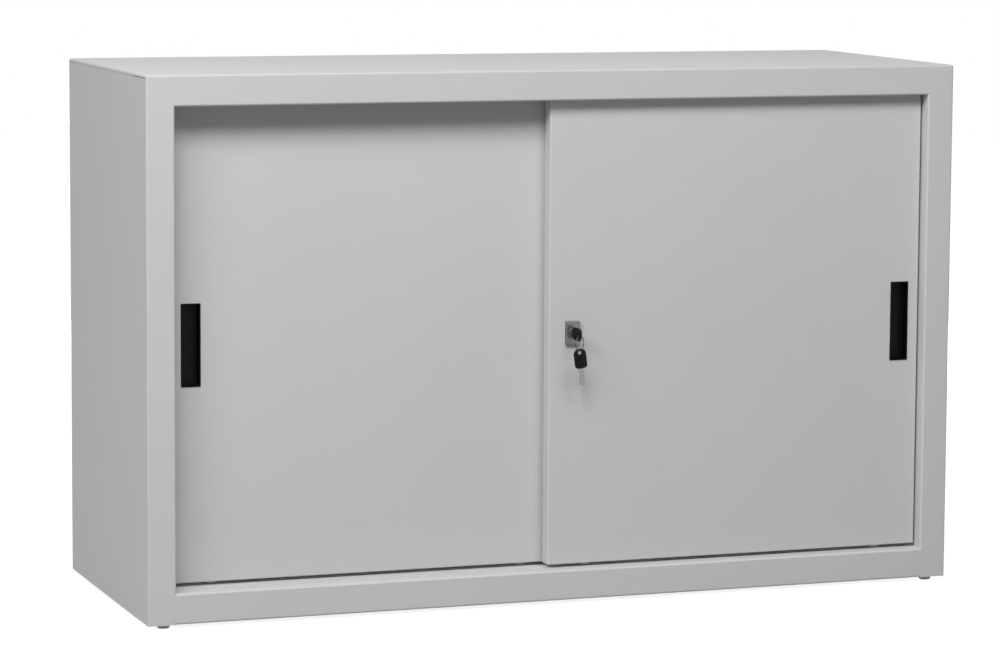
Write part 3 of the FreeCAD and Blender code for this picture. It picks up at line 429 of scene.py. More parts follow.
low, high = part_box("top_panel")
top_low = (low[0], low[1], high[2] - EDGE)
tray = box_mesh(top_low, high)
bmesh.ops.delete(tray, geom=facing(tray, (0, 0, -1)), context="FACES")
post_inner = high[0] - POST_FACE + FOLD_RADIUS
front_walls = cut_faces(tray, facing(tray, (0, -1, 0)), 0, (-post_inner, post_inner))
middle_wall = min(front_walls, key=lambda face: abs(face.calc_center_median()[0]))
rail_edge = [edge for edge in middle_wall.edges if edge.is_boundary]
rail_foot = draw_edges(tray, rail_edge, (0, 0, low[2] - top_low[2]))
lip_end = draw_edges(tray, rail_foot, (0, RAIL_LIP, 0))
draw_edges(tray, lip_end, (0, 0, RAIL_TURNUP))
face_outward(tray)
if facing(tray, (0, 0, 1))[0].calc_center_median()[2] < high[2] - TINY:
    bmesh.ops.reverse_faces(tray, faces=tray.faces[:])
round_edges(tray, folds(tray), FOLD_RADIUS)
for hand in (-1, 1):
    for end, gap in ((high[1] - SEAM_START, SEAM_GAP), (low[1] + SEAM_WIDE_END, SEAM_WIDE_GAP)):
        cut_window(tray, facing(tray, (hand, 0, 0)), {1: (low[1] + SEAM_START, end),
                                                      2: (top_low[2] - TINY, top_low[2] + gap)})
thicken(tray)
finish_piece(tray, "top_tray", "carcass", "powder_coated_steel", powder_grey, "top_panel")

for side, hand in (("left", -1), ("right", 1)):
    skin = hand * (high[0] - SHEET)
    ends = sorted((skin, skin - hand * SHEET))
    strap = box_mesh((ends[0], low[1] + POST_DEPTH + FOLD_RADIUS, high[2] - SIDE_FLANGE),
                     (ends[1], high[1] - REAR_FLANGE, high[2] - SHEET))
    round_edges(strap, folds(strap), DEBURRED, steps=2)
    finish_piece(strap, f"top_{side}_flange", "carcass", "powder_coated_steel", powder_grey)

# ---------------------------------------------------------------------------------------------
# Base panel: the cabinet's floor, folded down in front into the sill with its lip and behind
# into a flange. A wing at each side runs past the posts to the side skins. The sill's ends are
# welded into the posts' folds and ground flush, so hardly a line is left.
# ---------------------------------------------------------------------------------------------

SILL_LIP = 14.0 * MM
WELD_REACH = FOLD_RADIUS * 0.8              # sill's end, into the round of the post's fold

low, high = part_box("base_panel")
sill_end = high[0] + SHEET - POST_FACE + WELD_REACH
front, back = low[1], high[1]
section = [(front + SILL_LIP, low[2]), (front, low[2]), (front, high[2]), (back, high[2]), (back, low[2])]
base = folded_sheet([(-sill_end, y, z) for y, z in section], (2 * sill_end, 0, 0),
                    (0, 0, low[2] - high[2]))
wing_start, wing_end = front + POST_DEPTH, back - FOLD_RADIUS
# The rear cut stays just short of the fold, so that the wings end before it.
cut_faces(base, facing(base, (0, 0, 1)), 1, (wing_start, wing_end - TINY * 2))
for hand in (-1, 1):
    side_edges = [edge for edge in base.edges if edge.is_boundary and all(
        abs(vert.co[0] - hand * sill_end) < TINY and abs(vert.co[2] - high[2]) < TINY
        and wing_start - TINY < vert.co[1] < wing_end for vert in edge.verts)]
    draw_edges(base, side_edges, (hand * (high[0] - sill_end), 0, 0))
thicken(base)
finish_piece(base, "base_tray", "carcass", "powder_coated_steel", powder_grey, "base_panel")

# ---------------------------------------------------------------------------------------------
# Back panel: one flat sheet let in between the side skins, in front of their rear flanges, which
# are spot welded to it. It keeps the carcass square and has the same powder coat.
# ---------------------------------------------------------------------------------------------

low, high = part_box("back_panel")
sheet_back = box_mesh(low, high)
round_edges(sheet_back, folds(sheet_back), DEBURRED, steps=2)
finish_piece(sheet_back, "back_sheet", "carcass", "powder_coated_steel", powder_grey, "back_panel")

# ---------------------------------------------------------------------------------------------
# Feet: a grey moulded pad with gripping ribs round its rim, on a zinc-plated threaded stud
# that winds up into the nut of its bracket. The thread is drawn as rings at its true pitch.
# ---------------------------------------------------------------------------------------------

FOOT_RIBS = 24
RIB_CUT = 0.5 * MM
FOOT_CHAMFER = 1.0 * MM
PAD_ROUND = 0.6 * MM
STUD_RADIUS = 4.0 * MM
THREAD_PITCH = 1.25 * MM
THREAD_DEPTH = 0.6 * MM
STUD_STEPS = 32
PAD_STEPS = FOOT_RIBS * 2                   # a rib and the hollow beside it


def moulded_plastic(name, hex_colour, rough, grain_height, ior=1.5):
    """Injection-moulded plastic: a fine spark-eroded grain, and gloss that drifts over the part."""
    material, tree = new_material(name)
    place = add_node(tree, "TexCoord").outputs["Object"]
    # The real grain is finer; it is drawn coarse enough to show.
    grain_width, drift_width, gloss_drift = 0.0007, 0.012, 0.06
    drift = noise(tree, place, drift_width, detail=1.0)
    gloss = spread_between(tree, drift, rough - gloss_drift, rough + gloss_drift)
    grained = add_node(tree, "Bump", {"Height": noise(tree, place, grain_width, detail=2.0),
                                      "Strength": 0.5, "Distance": grain_height})
    plastic = add_node(tree, "BsdfPrincipled", {"Base Color": linear(hex_colour), "IOR": ior,
                                                "Roughness": gloss, "Normal": grained.outputs[0]})
    add_node(tree, "OutputMaterial", {"Surface": plastic.outputs[0]})
    return material


def zinc_plate():
    """Bright zinc on steel: pale bluish metal with faint clouds of the passivation bath."""
    material, tree = new_material("zinc plated steel")
    place = add_node(tree, "TexCoord").outputs["Object"]
    cloud_width, scratch_width = 0.018, 0.0012
    cloud = noise(tree, place, cloud_width, detail=3.0)
    tint = add_node(tree, "Mix", {0: cloud, 6: linear("#B4B8BC"), 7: linear("#C6C5BF")}, data_type="RGBA")
    # Marks of handling, wider than real scratches so that they show.
    worn = add_node(tree, "Bump", {"Height": noise(tree, place, scratch_width, detail=2.0),
                                   "Strength": 0.25, "Distance": 0.00004})
    metal = add_node(tree, "BsdfPrincipled", {"Base Color": tint.outputs[2], "Metallic": 1.0,
                                              "Roughness": spread_between(tree, cloud, 0.30, 0.44),
                                              "Normal": worn.outputs[0]})
    add_node(tree, "OutputMaterial", {"Surface": metal.outputs[0]})
    return material


# The pads' nylon is grey, and their colour is lighter still as painted light: it stands in for the bounce
# off a white floor that would reach them in the shade under the cabinet.
foot_grey_and_painted_bounce = moulded_plastic("grey nylon of the feet with painted bounce light", "#B4B4B2", 0.5, 0.00003)
zinc = zinc_plate()


def turned_mesh(profile, centre, axis, steps):
    """Solid of revolution from an outline of (radius, height) points, from the axis to the axis."""
    mesh = bmesh.new()
    along = Vector(axis)
    out = along.orthogonal().normalized()
    points = [mesh.verts.new(Vector(centre) + out * radius + along * height) for radius, height in profile]
    edges = [mesh.edges.new(pair) for pair in zip(points, points[1:])]
    bmesh.ops.spin(mesh, geom=points + edges, cent=centre, axis=along, angle=math.tau,
                   steps=steps, use_merge=True)
    bmesh.ops.remove_doubles(mesh, verts=mesh.verts[:], dist=TINY)
    face_outward(mesh)
    return mesh


for end in ("front", "rear"):
    for side in ("left", "right"):
        foot_name = f"{end}_{side}_foot"
        low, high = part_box(foot_name)
        foot_radius = (high[0] - low[0]) / 2
        axis_place = ((low[0] + high[0]) / 2, (low[1] + high[1]) / 2, 0.0)
        pad_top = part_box("base_panel")[0][2]
        pad = turned_mesh([(0.0, low[2]), (foot_radius - FOOT_CHAMFER, low[2]),
                           (foot_radius, low[2] + FOOT_CHAMFER), (foot_radius, pad_top - PAD_ROUND),
                           (foot_radius - PAD_ROUND, pad_top), (0.0, pad_top)],
                          axis_place, (0, 0, 1), PAD_STEPS)
        centre = Vector(axis_place)
        for vert in pad.verts:
            arm = (vert.co - centre) * Vector((1, 1, 0))
            turn = math.atan2(arm.y, arm.x) / math.tau * PAD_STEPS
            if arm.length > foot_radius - TINY and round(turn) % 2:
                vert.co -= arm.normalized() * RIB_CUT
        finish_piece(pad, f"{foot_name}_pad", foot_name, "foot_plastic", foot_grey_and_painted_bounce, foot_name)
        turns = int((high[2] - pad_top) / THREAD_PITCH)
        thread = [(0.0, pad_top)]
        for turn in range(turns):
            thread.append((STUD_RADIUS - THREAD_DEPTH, pad_top + turn * THREAD_PITCH))
            thread.append((STUD_RADIUS, pad_top + (turn + 0.5) * THREAD_PITCH))
        thread += [(STUD_RADIUS - THREAD_DEPTH, high[2]), (0.0, high[2])]
        stud = turned_mesh(thread, axis_place, (0, 0, 1), STUD_STEPS)
        finish_piece(stud, f"{foot_name}_stud", foot_name, "zinc_plated_steel", zinc)

# ---------------------------------------------------------------------------------------------
# Doors: a pan each of 1 mm sheet, with four folded edges and lips behind. The front sheet has a
# window for the handle, and the right one also for the lock; slots in the bottom fold let the
# rollers through.
# ---------------------------------------------------------------------------------------------

DOOR_FOLD = 2.0 * MM
DOOR_LIP = 14.0 * MM
CUT_GAP = 0.2 * MM
HANDLE_RIM = 0.7 * MM
LOCK_RIM = 1.0 * MM
SLOT_HALF = 10.0 * MM
CHEEK_INNER = 4.0 * MM


def inset(mesh, faces, margin):
    """Part a border of one margin off flat faces."""
    bmesh.ops.inset_region(mesh, faces=faces, thickness=margin, use_even_offset=True)


for side in ("left", "right"):
    low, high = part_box(f"{side}_door_skin")
    pan = box_mesh(low, high)
    rear_wall = facing(pan, (0, 1, 0))
    inset(pan, rear_wall, DOOR_LIP)
    bmesh.ops.delete(pan, geom=rear_wall, context="FACES")
    round_edges(pan, folds(pan), DOOR_FOLD)
    windows = [(f"{side}_handle_cup", HANDLE_RIM)]
    if side == "right":
        windows.append(("lock_housing", LOCK_RIM))
    for fitting, rim in windows:
        start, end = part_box(fitting)
        margin = rim - CUT_GAP
        cut_window(pan, facing(pan, (0, -1, 0)), {0: (start[0] + margin, end[0] - margin),
                                                  2: (start[2] + margin, end[2] - margin)})
    for wheel in ("left", "right"):
        start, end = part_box(f"{side}_door_{wheel}_roller")
        middle_x, middle_y = (start[0] + end[0]) / 2, (start[1] + end[1]) / 2
        cut_window(pan, facing(pan, (0, 0, -1)), {0: (middle_x - SLOT_HALF, middle_x + SLOT_HALF),
                                                  1: (middle_y - CHEEK_INNER, middle_y + CHEEK_INNER)})
    thicken(pan)
    finish_piece(pan, f"{side}_door_pan", f"{side}_door", "powder_coated_steel", powder_grey,
                 f"{side}_door_skin")

# ---------------------------------------------------------------------------------------------
# Handles: a black moulded finger cup pressed into each door, with a thin rim over the sheet and
# walls that draw in slightly towards the floor of the cup, as they leave the mould.
# ---------------------------------------------------------------------------------------------

HANDLE_WALL = 1.2 * MM
CUP_DRAFT = 0.4 * MM
CUP_CORNER = 0.7 * MM
HOLLOW_CORNER = 2.2 * MM
HOLLOW_ROUND = 1.2 * MM                     # between the hollow's walls and its floor
RIM_SOFT = 0.25 * MM

# A lower index than a plastic's real 1.5 keeps the black deep under the large lamps.
handle_black = moulded_plastic("black moulded plastic of the handles", "#050505", 0.42, 0.00003,
                               ior=1.2)


def push_faces(mesh, faces, vector, narrow=0.0):
    """Extrude flat faces by a vector and draw their outline in by a margin."""
    pushed = bmesh.ops.extrude_face_region(mesh, geom=faces)
    bmesh.ops.delete(mesh, geom=faces, context="FACES")
    verts = new_verts(pushed)
    middle = sum((vert.co for vert in verts), Vector()) / len(verts)
    for vert in verts:
        arm = vert.co - middle
        for axis in range(3):
            if abs(arm[axis]) > narrow:
                arm[axis] -= math.copysign(narrow, arm[axis])
        vert.co = middle + arm + Vector(vector)


def edges_at(mesh, axis, level):
    """Folds that lie wholly at one level along an axis."""
    return [edge for edge in folds(mesh)
            if all(abs(vert.co[axis] - level) < TINY for vert in edge.verts)]


def corners_between(mesh, start, end):
    """Corner edges that run from one depth to another."""
    found = []
    for edge in folds(mesh):
        depths = sorted(vert.co.y for vert in edge.verts)
        if abs(depths[0] - start) < TINY and abs(depths[1] - end) < TINY:
            found.append(edge)
    return found


for side in ("left", "right"):
    low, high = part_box(f"{side}_handle_cup")
    door_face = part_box(f"{side}_door_skin")[0][1]
    floor_level = high[1] - HANDLE_WALL
    cup = box_mesh(low, (high[0], door_face, high[2]))
    front_face, rear_face = facing(cup, (0, -1, 0)), facing(cup, (0, 1, 0))
    inset(cup, rear_face, HANDLE_RIM - CUT_GAP / 2)
    push_faces(cup, rear_face, (0, high[1] - door_face, 0), CUP_DRAFT / 2)
    inset(cup, front_face, HANDLE_RIM + HANDLE_WALL)
    push_faces(cup, front_face, (0, floor_level - low[1], 0), CUP_DRAFT)
    round_edges(cup, corners_between(cup, low[1], floor_level), HOLLOW_CORNER, steps=4)
    round_edges(cup, edges_at(cup, 1, floor_level), HOLLOW_ROUND, steps=4)
    round_edges(cup, corners_between(cup, low[1], door_face), CUP_CORNER, steps=4)
    round_edges(cup, edges_at(cup, 1, low[1]), RIM_SOFT, steps=2)
    face_outward(cup)
    finish_piece(cup, f"{side}_finger_cup", f"{side}_door", "black_plastic", handle_black,
                 f"{side}_handle_cup")

# ---------------------------------------------------------------------------------------------
# Lock: a die-cast zinc housing pushed through the right door, with a rounded face plate, a raised
# collar round the turning barrel, and a block behind that a spring steel clip holds.
# ---------------------------------------------------------------------------------------------

PLATE_CORNER = 1.5 * MM
PLATE_ROUND = 1.0 * MM
BARREL_GAP = 0.15 * MM
COLLAR_WIDTH = 1.1 * MM
COLLAR_RISE = 0.5 * MM
CIRCLE_STEPS = 40


def cast_metal(name, hex_colour, rough):
    """Die-cast zinc under a thin satin nickel: a mid grey metal with a soft, slightly pitted skin."""
    material, tree = new_material(name)
    place = add_node(tree, "TexCoord").outputs["Object"]
    # Real casting pits are finer; they are drawn coarse enough to show.
    pit_width, drift_width = 0.0009, 0.009
    drift = noise(tree, place, drift_width, detail=1.0)
    pitted = add_node(tree, "Bump", {"Height": noise(tree, place, pit_width, detail=2.0),
                                     "Strength": 0.3, "Distance": 0.00003})
    metal = add_node(tree, "BsdfPrincipled", {"Base Color": linear(hex_colour), "Metallic": 1.0,
                                              "Roughness": spread_between(tree, drift, rough - 0.05,
                                                                          rough + 0.07),
                                              "Normal": pitted.outputs[0]})
    add_node(tree, "OutputMaterial", {"Surface": metal.outputs[0]})
    return material


def runs_along(edge, axis):
    """Whether an edge's ends lie apart along an axis."""
    return abs((edge.verts[0].co - edge.verts[1].co)[axis]) > TINY


die_cast = cast_metal("satin nickelled die-cast zinc", "#757574", 0.34)

low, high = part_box("lock_housing")
barrel_low, barrel_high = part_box("lock_barrel")
door_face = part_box("right_door_skin")[0][1]
barrel_radius = (barrel_high[0] - barrel_low[0]) / 2
lock_centre = Vector(((barrel_low[0] + barrel_high[0]) / 2, low[1], (barrel_low[2] + barrel_high[2]) / 2))
housing = box_mesh(low, (high[0], door_face, high[2]))
round_edges(housing, [edge for edge in folds(housing) if runs_along(edge, 1)], PLATE_CORNER, steps=4)
round_edges(housing, edges_at(housing, 1, low[1]), PLATE_ROUND, steps=4)
plate_back = facing(housing, (0, 1, 0))
inset(housing, plate_back, LOCK_RIM)
push_faces(housing, plate_back, (0, high[1] - door_face, 0))
bore = round_holes(housing, facing(housing, (0, -1, 0))[0], [lock_centre], (0, -1, 0),
                   barrel_radius + COLLAR_WIDTH, CIRCLE_STEPS)[0]
step_up = draw_edges(housing, bore, (0, -COLLAR_RISE, 0))
collar_inner = draw_edges(housing, step_up, (0, 0, 0))
for vert in {vert for edge in collar_inner for vert in edge.verts}:
    arm = vert.co - lock_centre
    arm.y = 0.0
    vert.co -= arm.normalized() * (COLLAR_WIDTH - BARREL_GAP)
bore_end = draw_edges(housing, collar_inner, (0, barrel_high[1] - low[1], 0))
bmesh.ops.edgeloop_fill(housing, edges=bore_end)
face_outward(housing)
finish_piece(housing, "lock_case", "right_door", "die_cast_zinc", die_cast, "lock_housing")

# ---------------------------------------------------------------------------------------------
# Barrel: the cylinder that the key turns, die-cast like its housing and under the same satin
# nickel, with a rounded rim and a straight keyway that takes the blade.
# ---------------------------------------------------------------------------------------------

BARREL_ROUND = 0.5 * MM
KEYWAY_HALF_WIDTH = 1.1 * MM
KEYWAY_HALF_HEIGHT = 3.9 * MM
KEYWAY_DEPTH = 23.0 * MM

barrel_outline = [(0.0, barrel_low[1]), (barrel_radius, barrel_low[1]), (barrel_radius, barrel_high[1]),
                  (0.0, barrel_high[1])]
barrel = turned_mesh(barrel_outline, (lock_centre.x, 0.0, lock_centre.z), (0, 1, 0), CIRCLE_STEPS)
bmesh.ops.dissolve_faces(barrel, faces=facing(barrel, (0, -1, 0)))
bmesh.ops.dissolve_faces(barrel, faces=facing(barrel, (0, 1, 0)))
round_edges(barrel, edges_at(barrel, 1, barrel_low[1]), BARREL_ROUND, steps=3)
barrel_face = facing(barrel, (0, -1, 0))
keyway = {0: (lock_centre.x - KEYWAY_HALF_WIDTH, lock_centre.x + KEYWAY_HALF_WIDTH),
          2: (lock_centre.z - KEYWAY_HALF_HEIGHT, lock_centre.z + KEYWAY_HALF_HEIGHT)}
cut_window(barrel, barrel_face, keyway)
way_edges = [edge for edge in barrel.edges if edge.is_boundary]
way_end = draw_edges(barrel, way_edges, (0, KEYWAY_DEPTH, 0))
bmesh.ops.edgeloop_fill(barrel, edges=way_end)
face_outward(barrel)
finish_piece(barrel, "lock_cylinder", "key", "die_cast_zinc", die_cast, "lock_barrel")

# ---------------------------------------------------------------------------------------------
# Keys: a nickelled brass blade each, milled along both sides and cut along one edge, with a
# black bow moulded round its shank. The bow has a crowned end with a round hole for the ring,
# and a sunk grip on both sides with a raised spine over the shank.
# ---------------------------------------------------------------------------------------------

BOW_WIDTH, BOW_LENGTH, BOW_THICK = 18.0 * MM, 27.5 * MM, 3.0 * MM
BOW_CROWN = 7.6 * MM                        # corners at the ring's end
BOW_CORNER = 4.5 * MM                       # corners at the blade's end
BOW_SOFT = 0.6 * MM
HOLE_RADIUS = 3.0 * MM
BOW_HOLE_INSET = 5.0 * MM                   # hole's middle from the bow's end
HOLE_ZONE = 9.6 * MM                        # from the bow's end to where the grip starts
GRIP_MARGIN = 2.0 * MM
GRIP_SINK = 0.4 * MM
SPINE_WIDTH, SPINE_LENGTH, SPINE_PROUD = 4.2 * MM, 15.0 * MM, 0.3 * MM
BLADE_WIDTH, BLADE_LENGTH, BLADE_THICK = 7.6 * MM, 24.5 * MM, 2.0 * MM
BLADE_POINT = 2.0 * MM
BITTING = (1.0, 2.1, 1.4, 2.6, 0.8, 1.9)    # depth of each cut, in millimetres
CUT_PITCH = 3.2 * MM
CUT_HALF_FLAT = 0.15 * CUT_PITCH            # half of the flat at the bottom of a cut
FIRST_CUT = 5.0 * MM
WARD_WIDTH = 1.3 * MM
WARD_SINK = 0.45 * MM


def drawn_metal(name, hex_colour):
    """Plated strip or wire: a grey metal with marks that are narrow across and long down and back."""
    material, tree = new_material(name)
    place = add_node(tree, "TexCoord").outputs["Object"]
    # Real drawing marks are finer; they are drawn coarse enough to show.
    mark_width, mark_length = 0.0003, 0.006
    drawn = add_node(tree, "Mapping", {"Vector": place,
                                       "Scale": (1 / mark_width, 1 / mark_length, 1 / mark_length)})
    marks = noise(tree, drawn.outputs[0], 1.0, detail=2.0)
    milled = add_node(tree, "Bump", {"Height": marks, "Strength": 0.3, "Distance": 0.00003})
    metal = add_node(tree, "BsdfPrincipled", {"Base Color": linear(hex_colour), "Metallic": 1.0,
                                              "Roughness": spread_between(tree, marks, 0.24, 0.36),
                                              "Normal": milled.outputs[0]})
    add_node(tree, "OutputMaterial", {"Surface": metal.outputs[0]})
    return material


nickel = drawn_metal("nickel plated brass", "#8E8E8B")
# A low index here too, for a deep black.
key_black = moulded_plastic("black moulded plastic of the key bows", "#060607", 0.4, 0.00002,
                            ior=1.22)


def key_bow():
    """Bow in the XZ plane with its hole's centre at the origin and the blade's end down."""
    top = BOW_HOLE_INSET
    half = BOW_THICK / 2
    mesh = box_mesh((-BOW_WIDTH / 2, -half, top - BOW_LENGTH), (BOW_WIDTH / 2, half, top))
    for level, radius in ((top, BOW_CROWN), (top - BOW_LENGTH, BOW_CORNER)):
        round_edges(mesh, [edge for edge in corners_between(mesh, -half, half)
                           if abs(edge.verts[0].co.z - level) < TINY], radius, steps=8)
    round_edges(mesh, edges_at(mesh, 1, -half) + edges_at(mesh, 1, half), BOW_SOFT, steps=3)
    halves = {toward: cut_faces(mesh, facing(mesh, (0, toward, 0)), 2, (top - HOLE_ZONE,))
              for toward in (-1, 1)}
    rims = []
    for toward, (grip, hole_face) in halves.items():
        if grip.calc_center_median()[2] > hole_face.calc_center_median()[2]:
            grip, hole_face = hole_face, grip
        centre = Vector((0, toward * half, 0))
        rims += round_holes(mesh, hole_face, [centre], (0, toward, 0), HOLE_RADIUS, CIRCLE_STEPS)
        inset(mesh, [grip], GRIP_MARGIN)
        push_faces(mesh, [grip], (0, -toward * GRIP_SINK, 0), GRIP_SINK)
    bmesh.ops.bridge_loops(mesh, edges=rims[0] + rims[1])
    face_outward(mesh)
    return mesh


def key_blade():
    """Blade under its bow, with a milled ward on both sides and cuts along one edge."""
    start = BOW_HOLE_INSET - BOW_LENGTH
    tip = start - BLADE_LENGTH
    mesh = box_mesh((-BLADE_WIDTH / 2, -BLADE_THICK / 2, tip), (BLADE_WIDTH / 2, BLADE_THICK / 2, start))
    tip_edges = [edge for edge in edges_at(mesh, 2, tip) if runs_along(edge, 1)]
    round_edges(mesh, tip_edges, BLADE_POINT, steps=1)
    cuts = [start - FIRST_CUT - index * CUT_PITCH for index in range(len(BITTING))]
    bends = [level + shift for level in cuts for shift in (-CUT_HALF_FLAT, CUT_HALF_FLAT, CUT_PITCH / 2)]
    cut_faces(mesh, mesh.faces[:], 2, bends)
    for vert in mesh.verts:
        if vert.co.x > BLADE_WIDTH / 2 - TINY:
            for level, depth in zip(cuts, BITTING):
                if abs(vert.co.z - level) < CUT_HALF_FLAT + TINY:
                    vert.co.x -= depth * MM
    for toward in (-1, 1):
        middle = cut_faces(mesh, facing(mesh, (0, toward, 0)), 0, (-WARD_WIDTH / 2, WARD_WIDTH / 2))
        groove = [face for face in middle if abs(face.calc_center_median()[0]) < WARD_WIDTH / 2]
        push_faces(mesh, groove, (0, -toward * WARD_SINK, 0))
    face_outward(mesh)
    return mesh


def bow_spine():
    """Raised spine of the moulded bow, over the root of the blade."""
    start = BOW_HOLE_INSET - BOW_LENGTH
    half = BOW_THICK / 2 + SPINE_PROUD
    mesh = box_mesh((-SPINE_WIDTH / 2, -half, start - SPINE_PROUD),
                    (SPINE_WIDTH / 2, half, start + SPINE_LENGTH))
    round_edges(mesh, folds(mesh), SPINE_PROUD * 2, steps=3)
    return mesh


ring_low, ring_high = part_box("key_ring")
RING_WIRE = 0.8 * MM                        # radius of the wire in the construction solid
RING_DROP = 1.2 * MM                        # ring's wire below the middle of the hole it hangs in
SPARE_LEAN = math.radians(7.5)
key_hole = Vector((lock_centre.x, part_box("key_bow")[0][1] + BOW_HOLE_INSET, lock_centre.z))
spare_hole = Vector((key_hole.x, key_hole.y, ring_low[2] + RING_WIRE - RING_DROP))
# The inserted key points back with its flat upright; the spare one hangs and leans a little.
inserted = Matrix.Translation(key_hole) @ Matrix(((0, -1, 0), (0, 0, -1), (1, 0, 0))).to_4x4()
hanging = Matrix.Translation(spare_hole) @ Matrix.Rotation(SPARE_LEAN, 4, (0, -1, 0))
for key_name, body, place in (("key", "key", inserted), ("spare_key", "spare_key", hanging)):
    for make, part, replaced, slot, finish in (
            (key_bow, "grip", "bow", "black_plastic", key_black),
            (key_blade, "cut_blade", "blade", "nickel_plated_brass", nickel),
            (bow_spine, "spine", None, "black_plastic", key_black)):
        made = make()
        bmesh.ops.transform(made, matrix=place, verts=made.verts[:])
        nodes = [f"{key_name}_{replaced}"] if replaced else []
        finish_piece(made, f"{key_name}_{part}", body, slot, finish, *nodes)

# ---------------------------------------------------------------------------------------------
# Key ring: hardened spring wire wound twice round into a split ring, zinc plated and dulled. The
# turns are wound closer than the wire is thick, so they run into each other, unlike real ones.
# ---------------------------------------------------------------------------------------------

COIL_PITCH = 0.42 * MM                      # along the ring's axis, in one turn
WIRE_SHARE = 0.96                           # wire's radius as a share of the pitch
WIRE_STEPS = 10
COIL_TURNS = 2
COIL_STEPS = 96
RING_TURN = math.radians(40)                # ring's plane from the cabinet's front

spring_wire = drawn_metal("dulled spring wire", "#555554")

ring_radius = (ring_high[2] - ring_low[2]) / 2 - RING_WIRE
ring_axis = Vector((math.sin(RING_TURN), -math.cos(RING_TURN), 0))
ring_centre = Vector((key_hole.x, key_hole.y, (ring_low[2] + ring_high[2]) / 2))
along_wire = ring_axis.cross(Vector((0, 0, 1)))
coil = bmesh.new()
start = ring_centre - ring_axis * (COIL_TURNS * COIL_PITCH / 2) + Vector((0, 0, ring_radius))
stand = Vector((0, 0, 1)).rotation_difference(along_wire).to_matrix().to_4x4()
bmesh.ops.create_circle(coil, segments=WIRE_STEPS, radius=COIL_PITCH * WIRE_SHARE,
                        matrix=Matrix.Translation(start) @ stand)
bmesh.ops.spin(coil, geom=coil.verts[:] + coil.edges[:], cent=ring_centre, axis=ring_axis,
               dvec=ring_axis * (COIL_TURNS * COIL_PITCH / COIL_STEPS), angle=math.tau * COIL_TURNS,
               steps=COIL_STEPS)
bmesh.ops.holes_fill(coil, edges=[edge for edge in coil.edges if edge.is_boundary])
face_outward(coil)
finish_piece(coil, "split_ring", "key_ring", "zinc_plated_steel", spring_wire, "key_ring")

# ---------------------------------------------------------------------------------------------
# Bolt: a turned steel pin below the barrel, zinc plated, which the key drives out behind the right
# door. Its end is chamfered, where it goes in beside the left door's edge.
# ---------------------------------------------------------------------------------------------

BOLT_CHAMFER = 0.8 * MM

low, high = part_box("lock_bolt")
bolt_radius = (high[0] - low[0]) / 2
bolt = turned_mesh([(0.0, low[1]), (bolt_radius, low[1]), (bolt_radius, high[1] - BOLT_CHAMFER),
                    (bolt_radius - BOLT_CHAMFER, high[1]), (0.0, high[1])],
                   ((low[0] + high[0]) / 2, 0.0, (low[2] + high[2]) / 2), (0, 1, 0), CIRCLE_STEPS)
finish_piece(bolt, "turned_bolt", "lock_bolt", "zinc_plated_steel", zinc, "lock_bolt")

# ---------------------------------------------------------------------------------------------
# Rollers: natural nylon wheels with a groove for the track's rib, turned from moulded blanks
# with a sunk web on both sides. Each runs on a riveted pin.
# ---------------------------------------------------------------------------------------------

ROLLER_BORE = 2.05 * MM                     # radius, a little over the axle's
GROOVE_RADIUS = 9.0 * MM
GROOVE_WIDTH = 3.2 * MM
ROLLER_CHAMFER = 0.35 * MM
HUB_RADIUS = 4.2 * MM
WEB_RADIUS = 7.4 * MM
WEB_SINK = 1.3 * MM
WHEEL_STEPS = 64

nylon = moulded_plastic("natural white nylon", "#D2D1CB", 0.42, 0.00002)
for door in ("left", "right"):
    for end in ("left", "right"):
        low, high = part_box(f"{door}_door_{end}_roller")
        half, flange = (high[1] - low[1]) / 2, (high[0] - low[0]) / 2
        outline = [(ROLLER_BORE, -half), (HUB_RADIUS, -half), (HUB_RADIUS, -half + WEB_SINK),
                   (WEB_RADIUS, -half + WEB_SINK), (WEB_RADIUS, -half), (flange - ROLLER_CHAMFER, -half),
                   (flange, -half + ROLLER_CHAMFER), (flange, -GROOVE_WIDTH / 2),
                   (GROOVE_RADIUS, -GROOVE_WIDTH / 2)]
        outline += [(radius, -height) for radius, height in reversed(outline)]
        wheel = turned_mesh(outline + outline[:1], tuple((a + b) / 2 for a, b in zip(low, high)),
                            (0, 1, 0), WHEEL_STEPS)
        finish_piece(wheel, f"{door}_door_{end}_wheel", f"{door}_door_{end}_roller", "nylon", nylon,
                     f"{door}_door_{end}_roller")

# ---------------------------------------------------------------------------------------------
# Guide shoes and buffers: moulded nylon blocks on the doors' top folds, with rounded leading
# ends, and soft rubber blocks glued to the posts' returns.
# ---------------------------------------------------------------------------------------------

SHOE_LENGTH = 40.0 * MM
SHOE_ROUND = 2.0 * MM
BUFFER_DEPTH, BUFFER_HEIGHT = 12.0 * MM, 20.0 * MM
BUFFER_ROUND = 0.7 * MM
BUFFER_GAP = 0.1 * MM                       # between the rubber and a door at the end of its slide

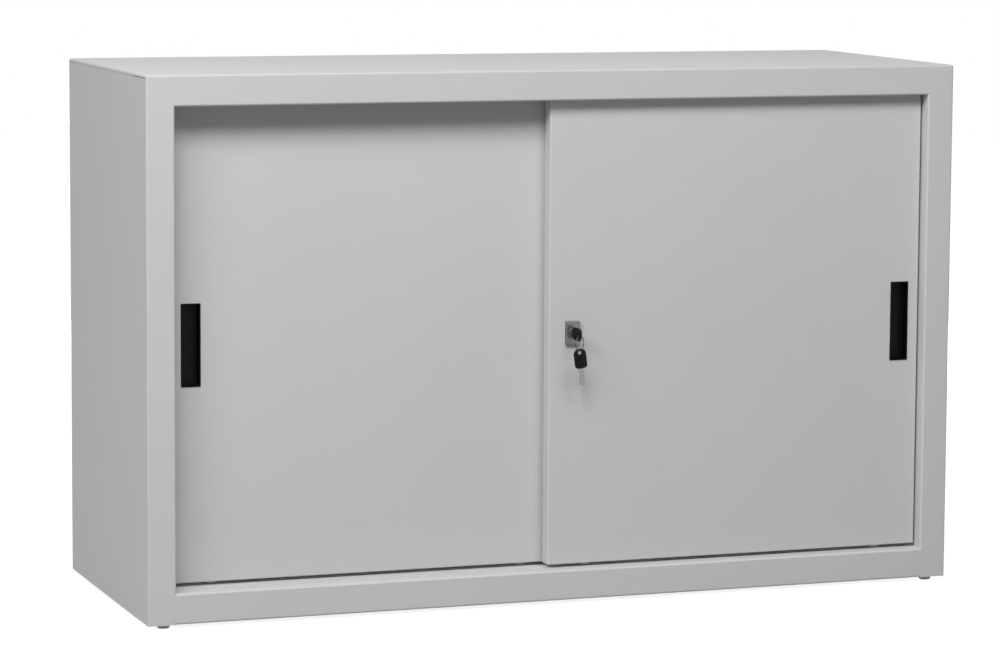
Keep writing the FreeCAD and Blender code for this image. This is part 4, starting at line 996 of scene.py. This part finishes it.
rubber = moulded_plastic("black buffer rubber", "#242424", 0.66, 0.00004)


def with_copies(mesh, offsets):
    """Repeat a finished block at each offset from its first place."""
    block = mesh.verts[:] + mesh.edges[:] + mesh.faces[:]
    for offset in offsets:
        copy = bmesh.ops.duplicate(mesh, geom=block)
        bmesh.ops.translate(mesh, verts=new_verts(copy), vec=offset)


for side, near, far in (("left", 0.0, BUFFER_GAP), ("right", BUFFER_GAP, 0.0)):
    low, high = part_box(f"{side}_guide_shoes")
    shoe = box_mesh(low, (low[0] + SHOE_LENGTH, high[1], high[2]))
    round_edges(shoe, [edge for edge in folds(shoe) if not runs_along(edge, 0)], SHOE_ROUND, steps=4)
    with_copies(shoe, [(high[0] - low[0] - SHOE_LENGTH, 0, 0)])
    finish_piece(shoe, f"{side}_door_shoes", f"{side}_door", "nylon", nylon, f"{side}_guide_shoes")
    low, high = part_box(f"{side}_post_buffers")
    stop = box_mesh((low[0] + near, low[1], low[2]),
                    (high[0] - far, low[1] + BUFFER_DEPTH, low[2] + BUFFER_HEIGHT))
    round_edges(stop, folds(stop), BUFFER_ROUND, steps=3)
    behind, above = high[1] - low[1] - BUFFER_DEPTH, high[2] - low[2] - BUFFER_HEIGHT
    with_copies(stop, [(0, behind, 0), (0, 0, above), (0, behind, above)])
    finish_piece(stop, f"{side}_post_stops", "carcass", "buffer_rubber", rubber, f"{side}_post_buffers")

# ---------------------------------------------------------------------------------------------
# Plain fittings that keep their construction solids: brackets, axles, tracks, strips, shelf,
# stiffeners and clips get the finish of what they are made of.
# ---------------------------------------------------------------------------------------------

finishes = {
    "powder_coated_steel": powder_grey,
    "zinc_plated_steel": zinc,
    "nickel_plated_brass": nickel,
    "die_cast_zinc": die_cast,
    "black_plastic": key_black,
    "nylon": nylon,
    "buffer_rubber": rubber,
    "foot_plastic": foot_grey_and_painted_bounce,
}
for row in frame["record"]["subparts"]:
    fitting = frame["nodes"][row["node"]]
    fitting.data.materials.clear()
    fitting.data.materials.append(finishes[row["material_slot"]])

low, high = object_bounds()
